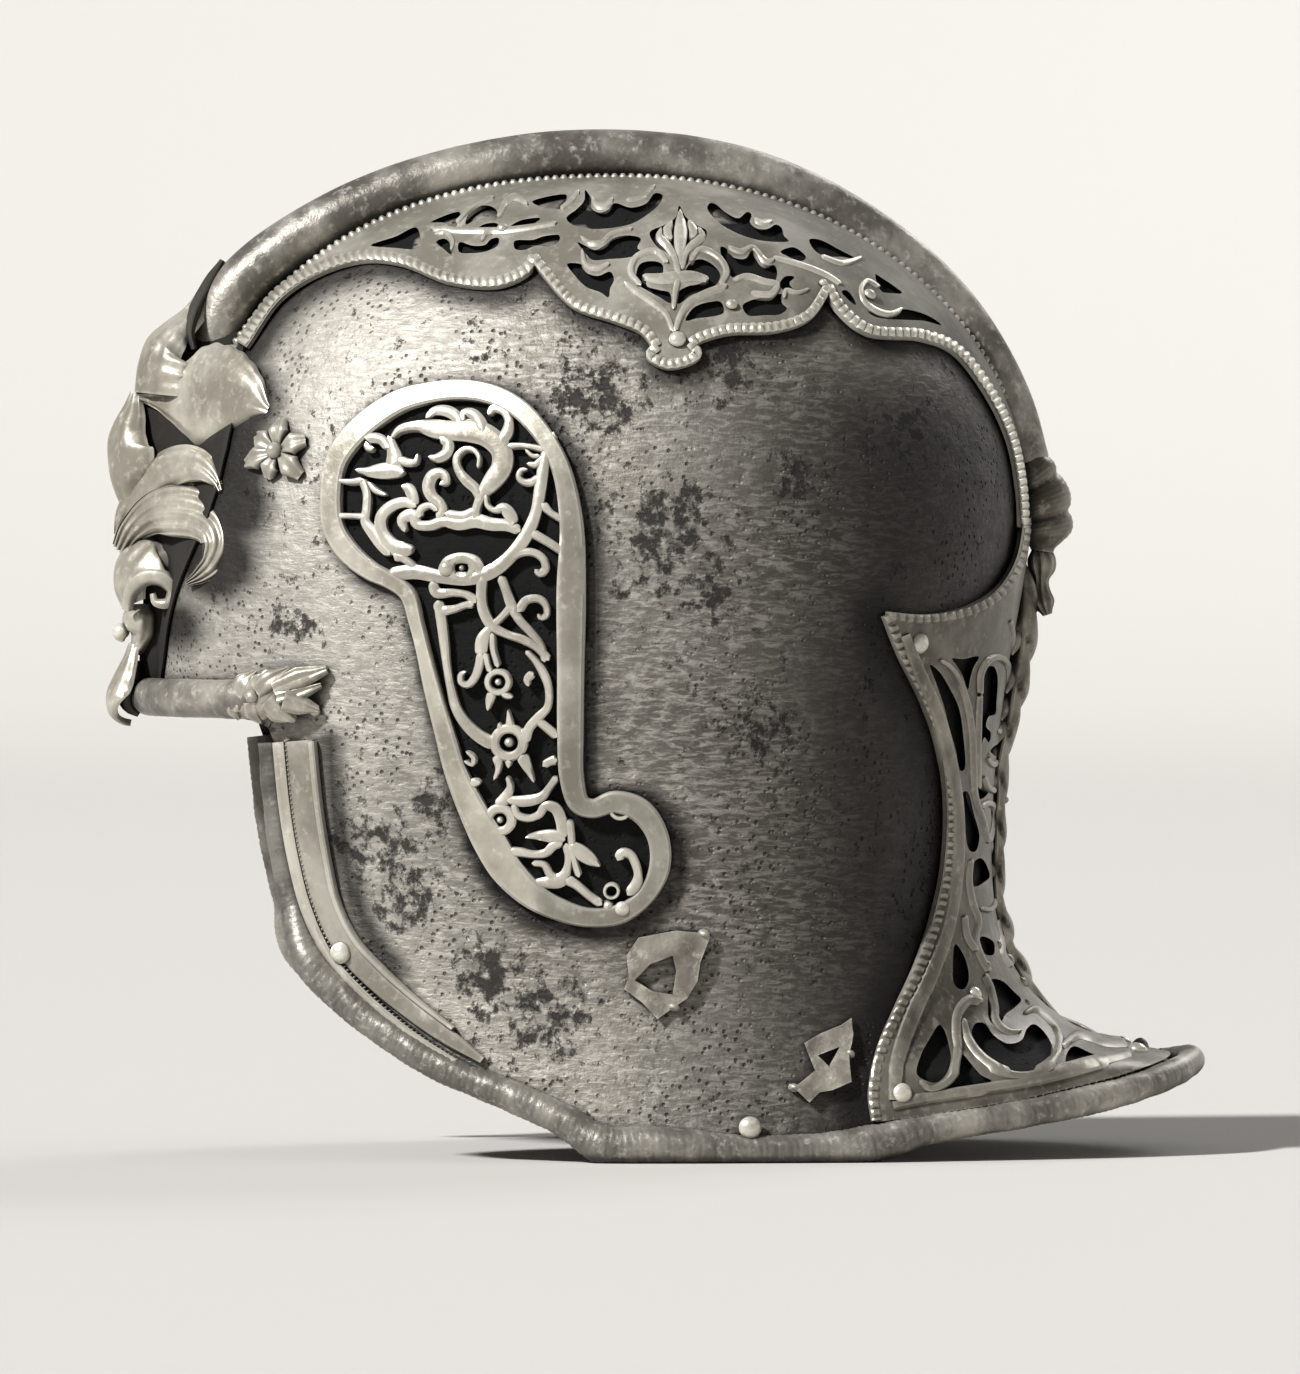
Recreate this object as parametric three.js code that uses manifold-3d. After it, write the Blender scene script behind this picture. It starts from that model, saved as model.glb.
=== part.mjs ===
// Open-faced morion helmet: a round iron skull with deep cheeks and a short swept tail, a tubular comb,
// pierced plates on the crown, the sides and the nape, and a cast leaf-and-horn mount on the brow.
// Millimetres, +Z up, face towards -Y, the wearer's left is +X. The helmet stands on the flattened
// underside of its rolled rim, and z = 0 is the surface under it.
import * as THREE from "three";
import { mergeVertices } from "three/addons/utils/BufferGeometryUtils.js";
import Module from "manifold-3d";

const wasm = await Module();
wasm.setup();

// ---- Driving dimensions -------------------------------------------------------------------------------
const WALL = 1.9; // iron wall of the skull
const GAP = 0.3; // air between neighbouring pieces
const PLATE = 2.4; // pierced plates
const CROWN_Y = -6; // the dome's highest point
const CROWN_Z = 276.6;
const WAIST_Y = 10; // where the horizontal sections are widest
const FRONT_PLAN = 1.95; // superellipse power of the horizontal sections before the widest station
const BACK_PLAN = 2.15; // and behind it
const FRONT_DOME = { z: 140, reach: 131, power: 2.45 };
const BACK_DOME = { z: 180, reach: 115.5, power: 2.07 };
const SIDE_DOME = { z: 168, halfWidth: 100, power: 2.15 };
const BROW_Z = 124.6; // upper edge of the face opening
const BROW_RADIUS = 5.6; // roll over the face opening
const SKIN_AROUND = 32;

// Skull below the dome: [z, front y, back y, half width], front and back being the centre-plane profile.
const LOWER_SECTIONS = [
  [180, -136, 109.5, 99.6],
  [165, -137, 107.6, 100],
  [140, -137, 103.2, 99.2],
  [117, -137, 100, 96.5],
  [99, -136, 98.5, 93.5],
  [82, -134, 98.2, 90.5],
  [68, -132, 99.4, 88.5],
  [56, -130, 102.6, 87.4],
  [46, -128, 108.4, 87],
  [39, -126.5, 115.4, 87.4],
  [33.5, -125, 123.5, 88],
  [29.5, -124, 134, 88.4],
  [26.6, -123, 146, 88.8],
  [24.4, -121.5, 159, 89.2],
  [18, -119, 165, 90],
  [6, -115, 170, 92],
  [-20, -108, 177, 94],
];

// Centre line and radius of the rolled edge in side view, [y, z, radius], from the brow corner down the
// cheek and along the bottom to the tail. The roll is flattened at z = 0.
const EDGE = [
  [-106, 117, 3.4],
  [-104, 99.4, 3.4],
  [-101.7, 85, 3.4],
  [-98, 71, 3.4],
  [-92, 56.6, 3.8],
  [-83, 45, 4.2],
  [-70, 33.7, 4.4],
  [-57, 25.6, 4.4],
  [-40, 18.4, 4.6],
  [-26, 12, 5],
  [-15, 5.4, 5.9],
  [0, 5, 5.6],
  [22, 3.9, 4.5],
  [45, 4, 4.6],
  [60, 5.2, 5.7],
  [74.3, 8.6, 4.8],
  [103, 13, 4.4],
  [131.4, 18, 4.4],
  [148.6, 22.6, 4.2],
  [157.7, 25.6, 4.2],
];
const CHEEK_POINTS = 5; // the first points of EDGE, along the cheek band

// ---- Solids -------------------------------------------------------------------------------------------
function solidOf(geometry) {
  const bare = geometry.clone();
  bare.deleteAttribute("normal");
  bare.deleteAttribute("uv");
  const merged = mergeVertices(bare, 1e-4);
  return new wasm.Manifold(
    new wasm.Mesh({
      numProp: 3,
      vertProperties: merged.attributes.position.array,
      triVerts: new Uint32Array(merged.index.array),
    }),
  );
}

function geometryOf(solid) {
  const mesh = solid.getMesh();
  const geometry = new THREE.BufferGeometry();
  geometry.setAttribute("position", new THREE.BufferAttribute(mesh.vertProperties, 3));
  geometry.setIndex(new THREE.BufferAttribute(mesh.triVerts, 1));
  return geometry;
}

const mirrored = (solid) => solid.mirror([1, 0, 0]);

// A closed solid from rings of points, each end closed by a fan to its middle.
function ringSolid(rings) {
  const around = rings[0].length;
  const middle = (ring) => ring.reduce((sum, p) => sum.add(p), new THREE.Vector3()).divideScalar(around);
  const points = [...rings.flat(), middle(rings[0]), middle(rings.at(-1))];
  const first = rings.length * around;
  const faces = [];
  for (let j = 0; j < around; j++) {
    const k = (j + 1) % around;
    faces.push(first, k, j);
    faces.push(first + 1, first - around + j, first - around + k);
    for (let i = 0; i + 1 < rings.length; i++) {
      const a = i * around;
      const b = a + around;
      faces.push(a + j, a + k, b + k, a + j, b + k, b + j);
    }
  }
  const geometry = new THREE.BufferGeometry().setFromPoints(points);
  geometry.setIndex(faces);
  const solid = solidOf(geometry);
  if (solid.volume() > 0) return solid;
  geometry.setIndex(faces.reverse());
  return solidOf(geometry);
}

// ---- The skull's skin ---------------------------------------------------------------------------------
const catmull = (a, b, c, d, t) =>
  b + 0.5 * t * (c - a + t * (2 * a - 5 * b + 4 * c - d + t * (3 * (b - c) + d - a)));

// Value of one column of LOWER_SECTIONS at height z.
function lowerValue(column, z) {
  const rows = LOWER_SECTIONS;
  let i = 0;
  while (i < rows.length - 2 && z < rows[i + 1][0]) i++;
  const t = (z - rows[i][0]) / (rows[i + 1][0] - rows[i][0]);
  const at = (k) => rows[Math.min(Math.max(k, 0), rows.length - 1)][column];
  return catmull(at(i - 1), at(i), at(i + 1), at(i + 2), t);
}

function domeValue(size, power, z, base) {
  const rise = Math.min(1, Math.max(0, (z - base) / (CROWN_Z - base)));
  return size * (1 - rise ** power) ** (1 / power);
}

// The horizontal section at height z: its front and back ends, half width and widest station.
function section(z) {
  const front =
    z > FRONT_DOME.z
      ? CROWN_Y - domeValue(FRONT_DOME.reach, FRONT_DOME.power, z, FRONT_DOME.z)
      : lowerValue(1, z);
  const back =
    z > BACK_DOME.z
      ? CROWN_Y + domeValue(BACK_DOME.reach, BACK_DOME.power, z, BACK_DOME.z)
      : lowerValue(2, z);
  const half =
    z > SIDE_DOME.z
      ? domeValue(SIDE_DOME.halfWidth, SIDE_DOME.power, z, SIDE_DOME.z)
      : lowerValue(3, z);
  const rise = Math.max(0, (z - FRONT_DOME.z) / (CROWN_Z - FRONT_DOME.z));
  const middle = WAIST_Y + (CROWN_Y - WAIST_Y) * rise * rise;
  return { front, back, half, middle };
}

const signedPower = (v, p) => Math.sign(v) * Math.abs(v) ** p;

// Point of the skin at height z and turn, which is 0 at the face, a quarter at the left ear and a half behind.
function skinPoint(turn, z) {
  const { front, back, half, middle } = section(z);
  const c = Math.cos(turn * 2 * Math.PI);
  const s = Math.sin(turn * 2 * Math.PI);
  const reach = c > 0 ? middle - front : back - middle;
  const power = c > 0 ? FRONT_PLAN : BACK_PLAN;
  return new THREE.Vector3(
    half * signedPower(s, 2 / power),
    middle - reach * signedPower(c, 2 / power),
    z,
  );
}

const UP = new THREE.Vector3(0, 0, 1);
const LEFT = new THREE.Vector3(1, 0, 0);

function skinNormal(turn, z) {
  if (z > CROWN_Z - 0.05) return UP.clone();
  const dz = Math.min(0.4, (CROWN_Z - z) / 2);
  const along = skinPoint(turn + 1e-4, z).sub(skinPoint(turn - 1e-4, z));
  const down = skinPoint(turn, z - dz).sub(skinPoint(turn, z + dz));
  return down.cross(along).normalize();
}

const offsetPoint = (turn, z, offset) => skinPoint(turn, z).addScaledVector(skinNormal(turn, z), offset);

// Heights of the mesh rows: even steps of angle over the dome, then closer where the tail flares.
const DOME_ROWS = 8;
const LOWER_ROWS = [121, 99, 78, 62, 49, 40, 33, 28.6, 26, 24.2, 14, -20];
const SKIN_ROWS = [
  ...Array.from({ length: DOME_ROWS }, (_, i) => {
    const angle = ((i + 0.5) / DOME_ROWS) * (Math.PI / 2);
    return FRONT_DOME.z + (CROWN_Z - FRONT_DOME.z) * Math.cos(angle);
  }),
  ...LOWER_ROWS,
];

// The closed body inside the skin, moved out by offset (or in, when it is negative).
function skinSolid(offset) {
  const rings = SKIN_ROWS.map((z) =>
    Array.from({ length: SKIN_AROUND }, (_, j) => offsetPoint(j / SKIN_AROUND, z, offset)),
  );
  const crown = new THREE.Vector3(0, CROWN_Y, CROWN_Z + offset);
  return ringSolid([Array.from({ length: SKIN_AROUND }, () => crown.clone()), ...rings]);
}

const layerCache = new Map();
const skin = (offset) => {
  if (!layerCache.has(offset)) layerCache.set(offset, skinSolid(offset));
  return layerCache.get(offset);
};
const layer = (inner, outer) => skin(outer).subtract(skin(inner));

// The turn at which the left side of the section at height z passes y.
function turnAt(y, z) {
  const { front, back, middle } = section(z);
  const reach = y < middle ? middle - front : back - middle;
  const power = y < middle ? FRONT_PLAN : BACK_PLAN;
  const c = signedPower(Math.min(1, Math.max(-1, (middle - y) / reach)), power / 2);
  return Math.acos(c) / (2 * Math.PI);
}

const sidePoint = (y, z, offset = 0) => offsetPoint(turnAt(y, z), z, offset);

// ---- Outlines and sweeps ------------------------------------------------------------------------------
// A prism along X of a side-view outline [y, z], between two stations.
function sidePrism(outline, from, to, holes = []) {
  const corners = outline.map(([y, z]) => new THREE.Vector2(y, z));
  if (THREE.ShapeUtils.isClockWise(corners)) corners.reverse(); // holes are only turned to suit this way
  const shape = new THREE.Shape(corners);
  shape.holes = holes.map((hole) => new THREE.Path(hole.map(([y, z]) => new THREE.Vector2(y, z))));
  const geometry = new THREE.ExtrudeGeometry(shape, { depth: to - from, bevelEnabled: false });
  const axes = new THREE.Matrix4().makeBasis(new THREE.Vector3(0, 1, 0), UP, LEFT);
  geometry.applyMatrix4(axes.setPosition(from, 0, 0));
  return solidOf(geometry);
}

// A smooth line through points, sampled. Corners are marked by ending one run and starting the next.
function smooth(points, steps = 2) {
  const curve = new THREE.SplineCurve(points.map(([a, b]) => new THREE.Vector2(a, b)));
  return curve.getPoints(steps * (points.length - 1)).map((p) => [p.x, p.y]);
}

function circle(y, z, radius, sides = 10) {
  return Array.from({ length: sides }, (_, i) => {
    const a = (i / sides) * 2 * Math.PI;
    return [y + radius * Math.cos(a), z + radius * Math.sin(a)];
  });
}

const vectors = (points) => points.map((p) => new THREE.Vector3(...p));

// A tube whose half width (across) and half height (in the bend) follow the lists along its length.
function sweep(points, widths, heights, { steps = 12, sides = 8, across = null } = {}) {
  const curve = new THREE.CatmullRomCurve3(points, false, "centripetal");
  const along = (list, t) => {
    const i = Math.min(list.length - 2, Math.floor(t * (list.length - 1)));
    return THREE.MathUtils.lerp(list[i], list[i + 1], t * (list.length - 1) - i);
  };
  const rings = [];
  const side = across ? across.clone() : new THREE.Vector3(0.36, 0.48, 0.8).cross(curve.getTangent(0));
  for (let i = 0; i <= steps; i++) {
    const t = i / steps;
    const centre = curve.getPoint(t);
    const tangent = curve.getTangent(t);
    side.addScaledVector(tangent, -side.dot(tangent)).normalize();
    const lift = side.clone().cross(tangent);
    rings.push(
      Array.from({ length: sides }, (_, j) => {
        const a = ((j + 0.5) / sides) * 2 * Math.PI;
        return centre
          .clone()
          .addScaledVector(side, along(widths, t) * Math.cos(a))
          .addScaledVector(lift, along(heights, t) * Math.sin(a));
      }),
    );
  }
  return ringSolid(rings);
}

// A sweep and the same sweep with the gap added, which its neighbours are cut by.
function grown(points, widths, heights, options) {
  const bigger = (list) => list.map((v) => v + GAP);
  return [
    sweep(points, widths, heights, options),
    sweep(points, bigger(widths), bigger(heights), options),
  ];
}

// ---- Rolled rim ---------------------------------------------------------------------------------------
// The roll lies inside the cheek's front edge and comes out under the lower edge.
const rimHalf = EDGE.map(([y, z, radius], i) => {
  if (i === EDGE.length - 1) return new THREE.Vector3(0, y, z);
  return sidePoint(y, z, i < CHEEK_POINTS - 1 ? -(WALL + GAP + radius) : 0);
});
const otherHalf = rimHalf.slice(0, -1).reverse();
const rimPath = [...rimHalf, ...otherHalf.map((p) => new THREE.Vector3(-p.x, p.y, p.z))];
const rimRadii = rimPath.map((_, i) => EDGE[Math.min(i, rimPath.length - 1 - i)][2]);
const rimTube = (extra) => {
  const radii = rimRadii.map((r) => r + extra);
  return sweep(rimPath, radii, radii, { steps: 2 * (rimPath.length - 1), sides: 8 });
};
const aboveGround = [
  [-200, 0],
  [200, 0],
  [200, 320],
  [-200, 320],
];
const rimRoll = rimTube(0).intersect(sidePrism(aboveGround, -150, 150));
const rimRoom = rimTube(GAP);

// ---- Comb ---------------------------------------------------------------------------------------------
// Stations along the crown: [y, z] on the skin's centre profile and the comb's height there.
const COMB_HALF_WIDTH = [7.5, 9, 9, 8.6, 7.4, 6, 5.4];
const COMB_STATIONS = [
  [-121.5, 222, 11],
  [-110, 241, 14.5],
  [-83, 260, 15],
  [-45, 273, 15],
  [-6, 276.6, 15],
  [32, 272, 13.5],
  [63, 258.5, 11.5],
  [88, 238, 10],
  [103, 214, 9.2],
  [108.6, 196, 9],
];
const profileNormal = ([, z], i) => {
  if (i === 4) return UP.clone();
  return skinNormal(i < 4 ? 0 : 0.5, z);
};
const combPath = COMB_STATIONS.map((station, i) =>
  new THREE.Vector3(0, station[0], station[1]).addScaledVector(profileNormal(station, i), station[2] - 8),
);
const combTube = (extra) =>
  sweep(
    combPath,
    COMB_HALF_WIDTH.map((w) => w + extra),
    combPath.map(() => 8 + extra),
    { steps: 27, sides: 10, across: LEFT },
  );
let comb = combTube(0).subtract(skin(GAP));
const combRoom = combTube(GAP);

// ---- Skull --------------------------------------------------------------------------------------------
// Side view of the iron: under the brow edge the front is cut away, and the rolled edge bounds the rest.
const skullOutline = [
  [-200, 320],
  [-200, BROW_Z],
  [-119, BROW_Z],
  [-111, BROW_Z - 2.5],
  ...smooth(EDGE, 2),
  [190, 30],
  [190, 320],
];
const skull = layer(-WALL, 0).intersect(sidePrism(skullOutline, -150, 150)).subtract(rimRoom);

// ---- Crown plates -------------------------------------------------------------------------------------
// Lower border of a crown plate: three scallops that meet in raised points, the middle one with a foot.
const crownBorder = [
  ...smooth([
    [-113, 229],
    [-103, 243],
    [-91, 250.5],
    [-79, 253.6],
    [-69, 252.4],
    [-56, 247],
    [-43, 246],
    [-35, 249.6],
    [-32.8, 253],
  ]),
  ...smooth([
    [-30, 249],
    [-22, 240],
    [-11, 236],
    [-3, 232.4],
    [0.5, 227.8],
  ]),
  [-2, 225.6],
  [3.5, 222.6],
  [11.5, 226],
  ...smooth([
    [12, 229],
    [20, 232.6],
    [34, 233.4],
    [43, 236.6],
    [49.2, 244.6],
  ]),
  ...smooth([
    [52.4, 239],
    [60, 232.8],
    [76, 231.4],
    [86, 228],
    [95, 218],
    [103, 203],
    [105.4, 193],
  ]),
];
// Main openings of the foliage, front to back.
const crownOpenings = [
  [
    [-80, 260],
    [-66, 264],
    [-65, 257.5],
  ],
  [
    [-60, 261.5],
    [-49, 265.5],
    [-45, 261],
    [-58, 256.6],
  ],
  [
    [-24, 263],
    [-17, 270],
    [-14, 266],
    [4, 270.5],
    [-6, 263.5],
  ],
  [
    [-19, 257],
    [-6, 258.6],
    [-8, 253],
    [-18, 249],
  ],
  [
    [-6, 246],
    [0, 253],
    [8, 249.5],
    [16, 253],
    [20, 247],
    [8, 241],
  ],
  [
    [18, 268],
    [22, 262.5],
    [35, 259],
    [32, 265],
  ],
  [
    [22, 254.6],
    [34, 254],
    [42, 247.6],
    [27, 246.6],
  ],
  [
    [45, 261.4],
    [48, 254.6],
    [61, 252],
  ],
  [
    [62, 246.5],
    [71, 240.6],
    [62, 240],
  ],
];
const crownOutline = [...crownBorder, [150, 193], [150, 300], [-150, 300], [-150, 229]];
const crownPlate = layer(GAP, GAP + PLATE)
  .intersect(sidePrism(crownOutline, 1, 150, crownOpenings))
  .subtract(combRoom);

// ---- Side plaques -------------------------------------------------------------------------------------
const plaqueOutline = [
  ...smooth([
    [-19.1, 162.3],
    [-20.9, 182.3],
    [-25.1, 198],
    [-34.3, 210.9],
    [-47.1, 217.7],
    [-60, 218.3],
    [-72.9, 215.4],
    [-82.9, 208.6],
    [-89.4, 198.9],
    [-92, 187.4],
    [-90.9, 176.6],
    [-85.7, 167.4],
    [-78.6, 162.6],
    [-70.9, 161.4],
  ], 2),
  ...smooth([
    [-67.7, 145],
    [-62.9, 125],
    [-57.7, 105],
    [-52.6, 89.4],
    [-45.7, 76.6],
    [-35.7, 68.9],
    [-22.9, 65.7],
    [-10, 67.4],
    [0, 74.3],
    [4.3, 85],
    [2.9, 95],
    [-3.4, 102.3],
    [-12, 104.3],
    [-18.6, 102.3],
    [-22, 99],
  ], 2),
  [-21, 116.6],
  [-19.7, 139.4],
];
// The roundel's openings lie between its two scrolls, the others down the tapering band.
const plaqueOpenings = [
  [
    [-84, 190],
    [-80, 202],
    [-70, 210],
    [-58, 212],
    [-66, 203],
    [-74, 196],
    [-77, 188],
  ],
  [
    [-54, 212],
    [-42, 209],
    [-33, 199],
    [-38, 196],
    [-47, 203],
  ],
  [
    [-71, 192],
    [-62, 199],
    [-50, 198],
    [-42, 190],
    [-44, 182],
    [-56, 187],
    [-66, 183],
  ],
  [
    [-85, 182],
    [-78, 170],
    [-68, 166],
    [-60, 172],
    [-44, 175],
    [-56, 180],
    [-72, 178],
  ],
  [
    [-60, 160],
    [-52, 163],
    [-50, 152],
    [-57, 142],
    [-62, 145],
  ],
  [
    [-56, 137],
    [-47, 147],
    [-30, 145],
    [-28, 124],
    [-42, 122],
    [-52, 121],
  ],
  [
    [-52, 116],
    [-40, 117],
    [-28, 118],
    [-28, 104],
    [-44, 101],
    [-50, 106],
  ],
  [
    [-43, 96],
    [-28, 99],
    [-24, 94],
    [-32, 86],
    [-42, 85],
  ],
  [
    [-38, 80],
    [-24, 84],
    [-16, 72],
    [-30, 73],
  ],
  [
    [-20, 96],
    [-9, 98],
    [-3, 90],
    [-5, 79],
    [-12, 74],
    [-18, 84],
  ],
];
const sidePlaque = layer(GAP, GAP + PLATE).intersect(sidePrism(plaqueOutline, 30, 150, plaqueOpenings));

// ---- Nape plate ---------------------------------------------------------------------------------------
const napeOutline = [
  [125, 192],
  [106.9, 192],
  ...smooth([
    [107.1, 179.4],
    [105, 169],
    [99, 160.6],
    [89, 155],
    [76, 152.6],
    [64.3, 153.4],
  ], 2),
  ...smooth([
    [69, 142.3],
    [76, 129],
    [81.4, 115],
    [83.7, 99],
    [82.9, 82],
    [80, 69],
    [75, 55],
    [68.5, 42],
    [63.4, 31],
    [60.8, 19.4],
    [62.9, 8],
  ], 2),
  ...EDGE.slice(15).map(([y, z]) => [y, z + 1]),
  [175, 28],
  [175, 192],
];
const napeOpenings = [
  [
    [75.6, 139],
    [83, 131.4],
    [88.6, 118],
    [89, 106],
    [86, 112],
    [81.4, 127],
  ],
  [
    [86, 143.4],
    [96.5, 145],
    [91, 134.5],
  ],
  [
    [78, 51],
    [84, 47],
    [79, 34],
    [71.5, 25],
    [72, 38],
  ],
  [
    [91, 38],
    [101, 41],
    [110, 38],
    [112, 31],
    [102, 25.6],
    [91, 27],
  ],
];
// Openings beside the spine, seen from behind: [x, z].
const backOpenings = [
  [
    [9, 158],
    [19, 154],
    [14, 138],
  ],
  [
    [10, 130],
    [22, 133],
    [21, 112],
    [12, 104],
  ],
];
function backPrism(outline, from, to) {
  const shape = new THREE.Shape(outline.map(([x, z]) => new THREE.Vector2(-x, z)));
  const geometry = new THREE.ExtrudeGeometry(shape, { depth: to - from, bevelEnabled: false });
  const axes = new THREE.Matrix4().makeBasis(new THREE.Vector3(-1, 0, 0), UP, new THREE.Vector3(0, 1, 0));
  geometry.applyMatrix4(axes.setPosition(0, from, 0));
  return solidOf(geometry);
}
let napePlate = layer(GAP, GAP + PLATE)
  .intersect(sidePrism(napeOutline, -150, 150, napeOpenings))
  .subtract(rimRoom)
  .subtract(combRoom);
for (const opening of backOpenings) {
  const cut = backPrism(opening, 60, 170);
  napePlate = napePlate.subtract(cut).subtract(mirrored(cut));
}

// ---- Spine, knot and tassel at the back ---------------------------------------------------------------
const NAPE_TOP = GAP + PLATE + GAP; // pieces on the nape plate start here
const backPoint = (z, offset) => offsetPoint(0.5, z, offset);
const spineHeights = [152, 141, 128, 114, 100, 86, 70, 57, 46, 38];
const [spineRaw, spineRoom] = grown(
  spineHeights.map((z) => backPoint(z, NAPE_TOP)),
  [4, 7, 5, 8, 5, 7, 5, 8.5, 6, 3.5],
  [3, 6, 4, 5.6, 3.6, 4.6, 4, 6.4, 4.6, 2.6],
  { steps: 18, sides: 8, across: LEFT },
);
const napeSpine = spineRaw.subtract(skin(NAPE_TOP));
const knotHeights = [191.4, 186, 181, 175, 169.6];
const [knotRaw, knotRoom] = grown(
  knotHeights.map((z) => backPoint(z, 5.4)),
  [7, 10, 8.6, 10.4, 6],
  [6, 8.4, 10, 11.4, 7],
  { steps: 8, sides: 8, across: LEFT },
);
const combKnot = knotRaw.subtract(skin(NAPE_TOP));
const knotTassel = sweep(
  vectors([
    [0, 117, 167.6],
    [0, 118.4, 162],
    [0, 116.4, 157.5],
    [0, 119, 153.4],
  ]),
  [4.4, 5, 3.2, 3.6],
  [4, 4.6, 3, 3],
  { steps: 6, sides: 6, across: LEFT },
)
  .subtract(skin(NAPE_TOP))
  .subtract(spineRoom)
  .subtract(knotRoom);
comb = comb.subtract(knotRoom);

// ---- Brow roll with its leaves ------------------------------------------------------------------------
const BROW_ROLL_Z = 129.6;
const browStations = [-99.6, -108, -118, -127.5, -134];
const browLeft = browStations.map((y) => sidePoint(y, BROW_ROLL_Z, 3.2));
const browPath = [
  ...browLeft,
  offsetPoint(0, BROW_ROLL_Z, 3.2),
  ...browLeft.map((p) => new THREE.Vector3(-p.x, p.y, p.z)).reverse(),
];
const browTube = (extra) => {
  const radii = browPath.map(() => BROW_RADIUS + extra);
  return sweep(browPath, radii, radii, { steps: 20, sides: 8 });
};
const browRoll = browTube(0).subtract(skin(GAP));
const browRoom = browTube(GAP);

const browLeafOutline = [
  [-114.6, 127.4],
  [-109, 131],
  [-110, 136],
  [-104, 135],
  [-101, 139],
  [-96, 137],
  [-88, 139.6],
  [-87, 135.4],
  [-93, 131.6],
  [-97, 131],
  [-96, 126.4],
  [-101.6, 128],
  [-103, 122.6],
  [-108, 125.4],
];
const browLeaf = layer(GAP + 2, GAP + 12.4)
  .intersect(sidePrism(browLeafOutline, 30, 150))
  .subtract(browRoom);

// ---- Cheek bands --------------------------------------------------------------------------------------
const bandFront = smooth([[-105.4, 119.5], ...EDGE.slice(1, CHEEK_POINTS + 1)], 2).map(([y, z]) => [
  y + 0.6,
  z + 0.4,
]);
const bandBack = smooth([
  [-75.4, 54],
  [-82.6, 61],
  [-88, 72],
  [-91, 86],
  [-93.4, 100],
  [-95.4, 118.6],
], 2);
const cheekBand = layer(GAP, GAP + 2.8)
  .intersect(sidePrism([...bandFront.slice(0, -2), ...bandBack], 20, 150))
  .subtract(rimRoom)
  .subtract(browRoom)
  .subtract(browLeaf);

// ---- Brow mount: leaf, petals, horns, tongue, button and foot -----------------------------------------
// Pieces are cut clear of the skull and of the pieces drawn before them.
const mountParts = new Map();
function addMountPart(name, raw, room = null) {
  let solid = raw.subtract(skin(GAP)).subtract(combRoom).subtract(browRoom);
  for (const taken of mountParts.values()) solid = solid.subtract(taken.room);
  mountParts.set(name, { solid, room: room ?? raw });
}
// The core runs down the skull's centre line and carries the leaves.
const mountCore = grown(
  vectors([
    [0, -124, 219],
    [0, -131, 208],
    [0, -136, 194],
    [0, -139, 180],
    [0, -139.6, 165],
    [0, -140, 150],
  ]),
  [9, 13, 14, 14, 11, 7],
  [3, 4, 4, 4, 3.4, 3],
  { steps: 5, sides: 8, across: LEFT },
);
addMountPart("mount_core", ...mountCore);

const crestLeaf = grown(
  vectors([
    [0, -140.4, 215.4],
    [0, -139.4, 224],
    [0, -133.4, 234],
    [0, -127, 242],
    [0, -120.4, 253.4],
  ]),
  [17, 17, 14, 5, 1.6],
  [4, 4.4, 5, 3.4, 1.6],
  { steps: 8, sides: 8, across: LEFT },
);
addMountPart("crest_leaf", ...crestLeaf);

const petalPath = [
  [4, -143, 214.6],
  [14, -137.4, 216],
  [25, -129, 216.6],
  [35, -120.4, 215.4],
  [42.4, -112.4, 210.4],
];
const keelPetal = grown(
  vectors([
    [0, -144.4, 214],
    [0, -148, 207],
    [0, -148.6, 197.6],
    [0, -145.6, 185.4],
  ]),
  [6, 13, 14.6, 9],
  [2.4, 3.8, 4, 3.4],
  { steps: 6, sides: 8, across: LEFT },
);
addMountPart("keel_petal", ...keelPetal);

const upperHorn = [
  [3, -147.4, 177],
  [9, -143.4, 187.4],
  [19, -136.8, 194.8],
  [29.4, -128.8, 196.4],
  [38.6, -121.8, 190.4],
];
const lowerHorn = [
  [3, -147.6, 171.6],
  [12, -143.4, 180],
  [24, -135, 183.8],
  [35, -126, 183],
  [43, -121.2, 176.8],
  [41, -124, 168.4],
  [32.4, -130.6, 162.4],
];
for (const side of [1, -1]) {
  const word = side > 0 ? "left" : "right";
  const place = (list) => list.map(([x, y, z]) => new THREE.Vector3(side * x, y, z));
  const petal = grown(place(petalPath), [1.6, 7, 13, 14, 9], [3, 4.4, 5, 4.6, 2.8], {
    steps: 8,
    sides: 8,
    across: UP,
  });
  const upper = grown(place(upperHorn), [4, 5, 5.4, 5, 2.4], [3, 5, 5.6, 5, 2], { steps: 8, sides: 8 });
  const lower = grown(
    place(lowerHorn),
    [4, 5.4, 6.4, 6.6, 6, 5, 2],
    [4, 5.4, 6, 6.4, 6, 4.6, 2],
    { steps: 12, sides: 8 },
  );
  addMountPart("brow_petal_" + word, ...petal);
  addMountPart("upper_horn_" + word, ...upper);
  addMountPart("lower_horn_" + word, ...lower);
}

const browTongue = grown(
  vectors([
    [0, -147.4, 168],
    [0, -148, 162],
    [0, -147.6, 156.6],
  ]),
  [12, 12, 8],
  [2.6, 3, 2.4],
  { steps: 4, sides: 8, across: LEFT },
);
addMountPart("brow_tongue", ...browTongue);

const browBoss = grown(
  vectors([
    [0, -145, 154.6],
    [0, -144, 149],
    [0, -144.4, 142.6],
  ]),
  [6, 8, 5],
  [3.4, 4.4, 3],
  { steps: 4, sides: 8, across: LEFT },
);
addMountPart("brow_boss", ...browBoss);

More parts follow.
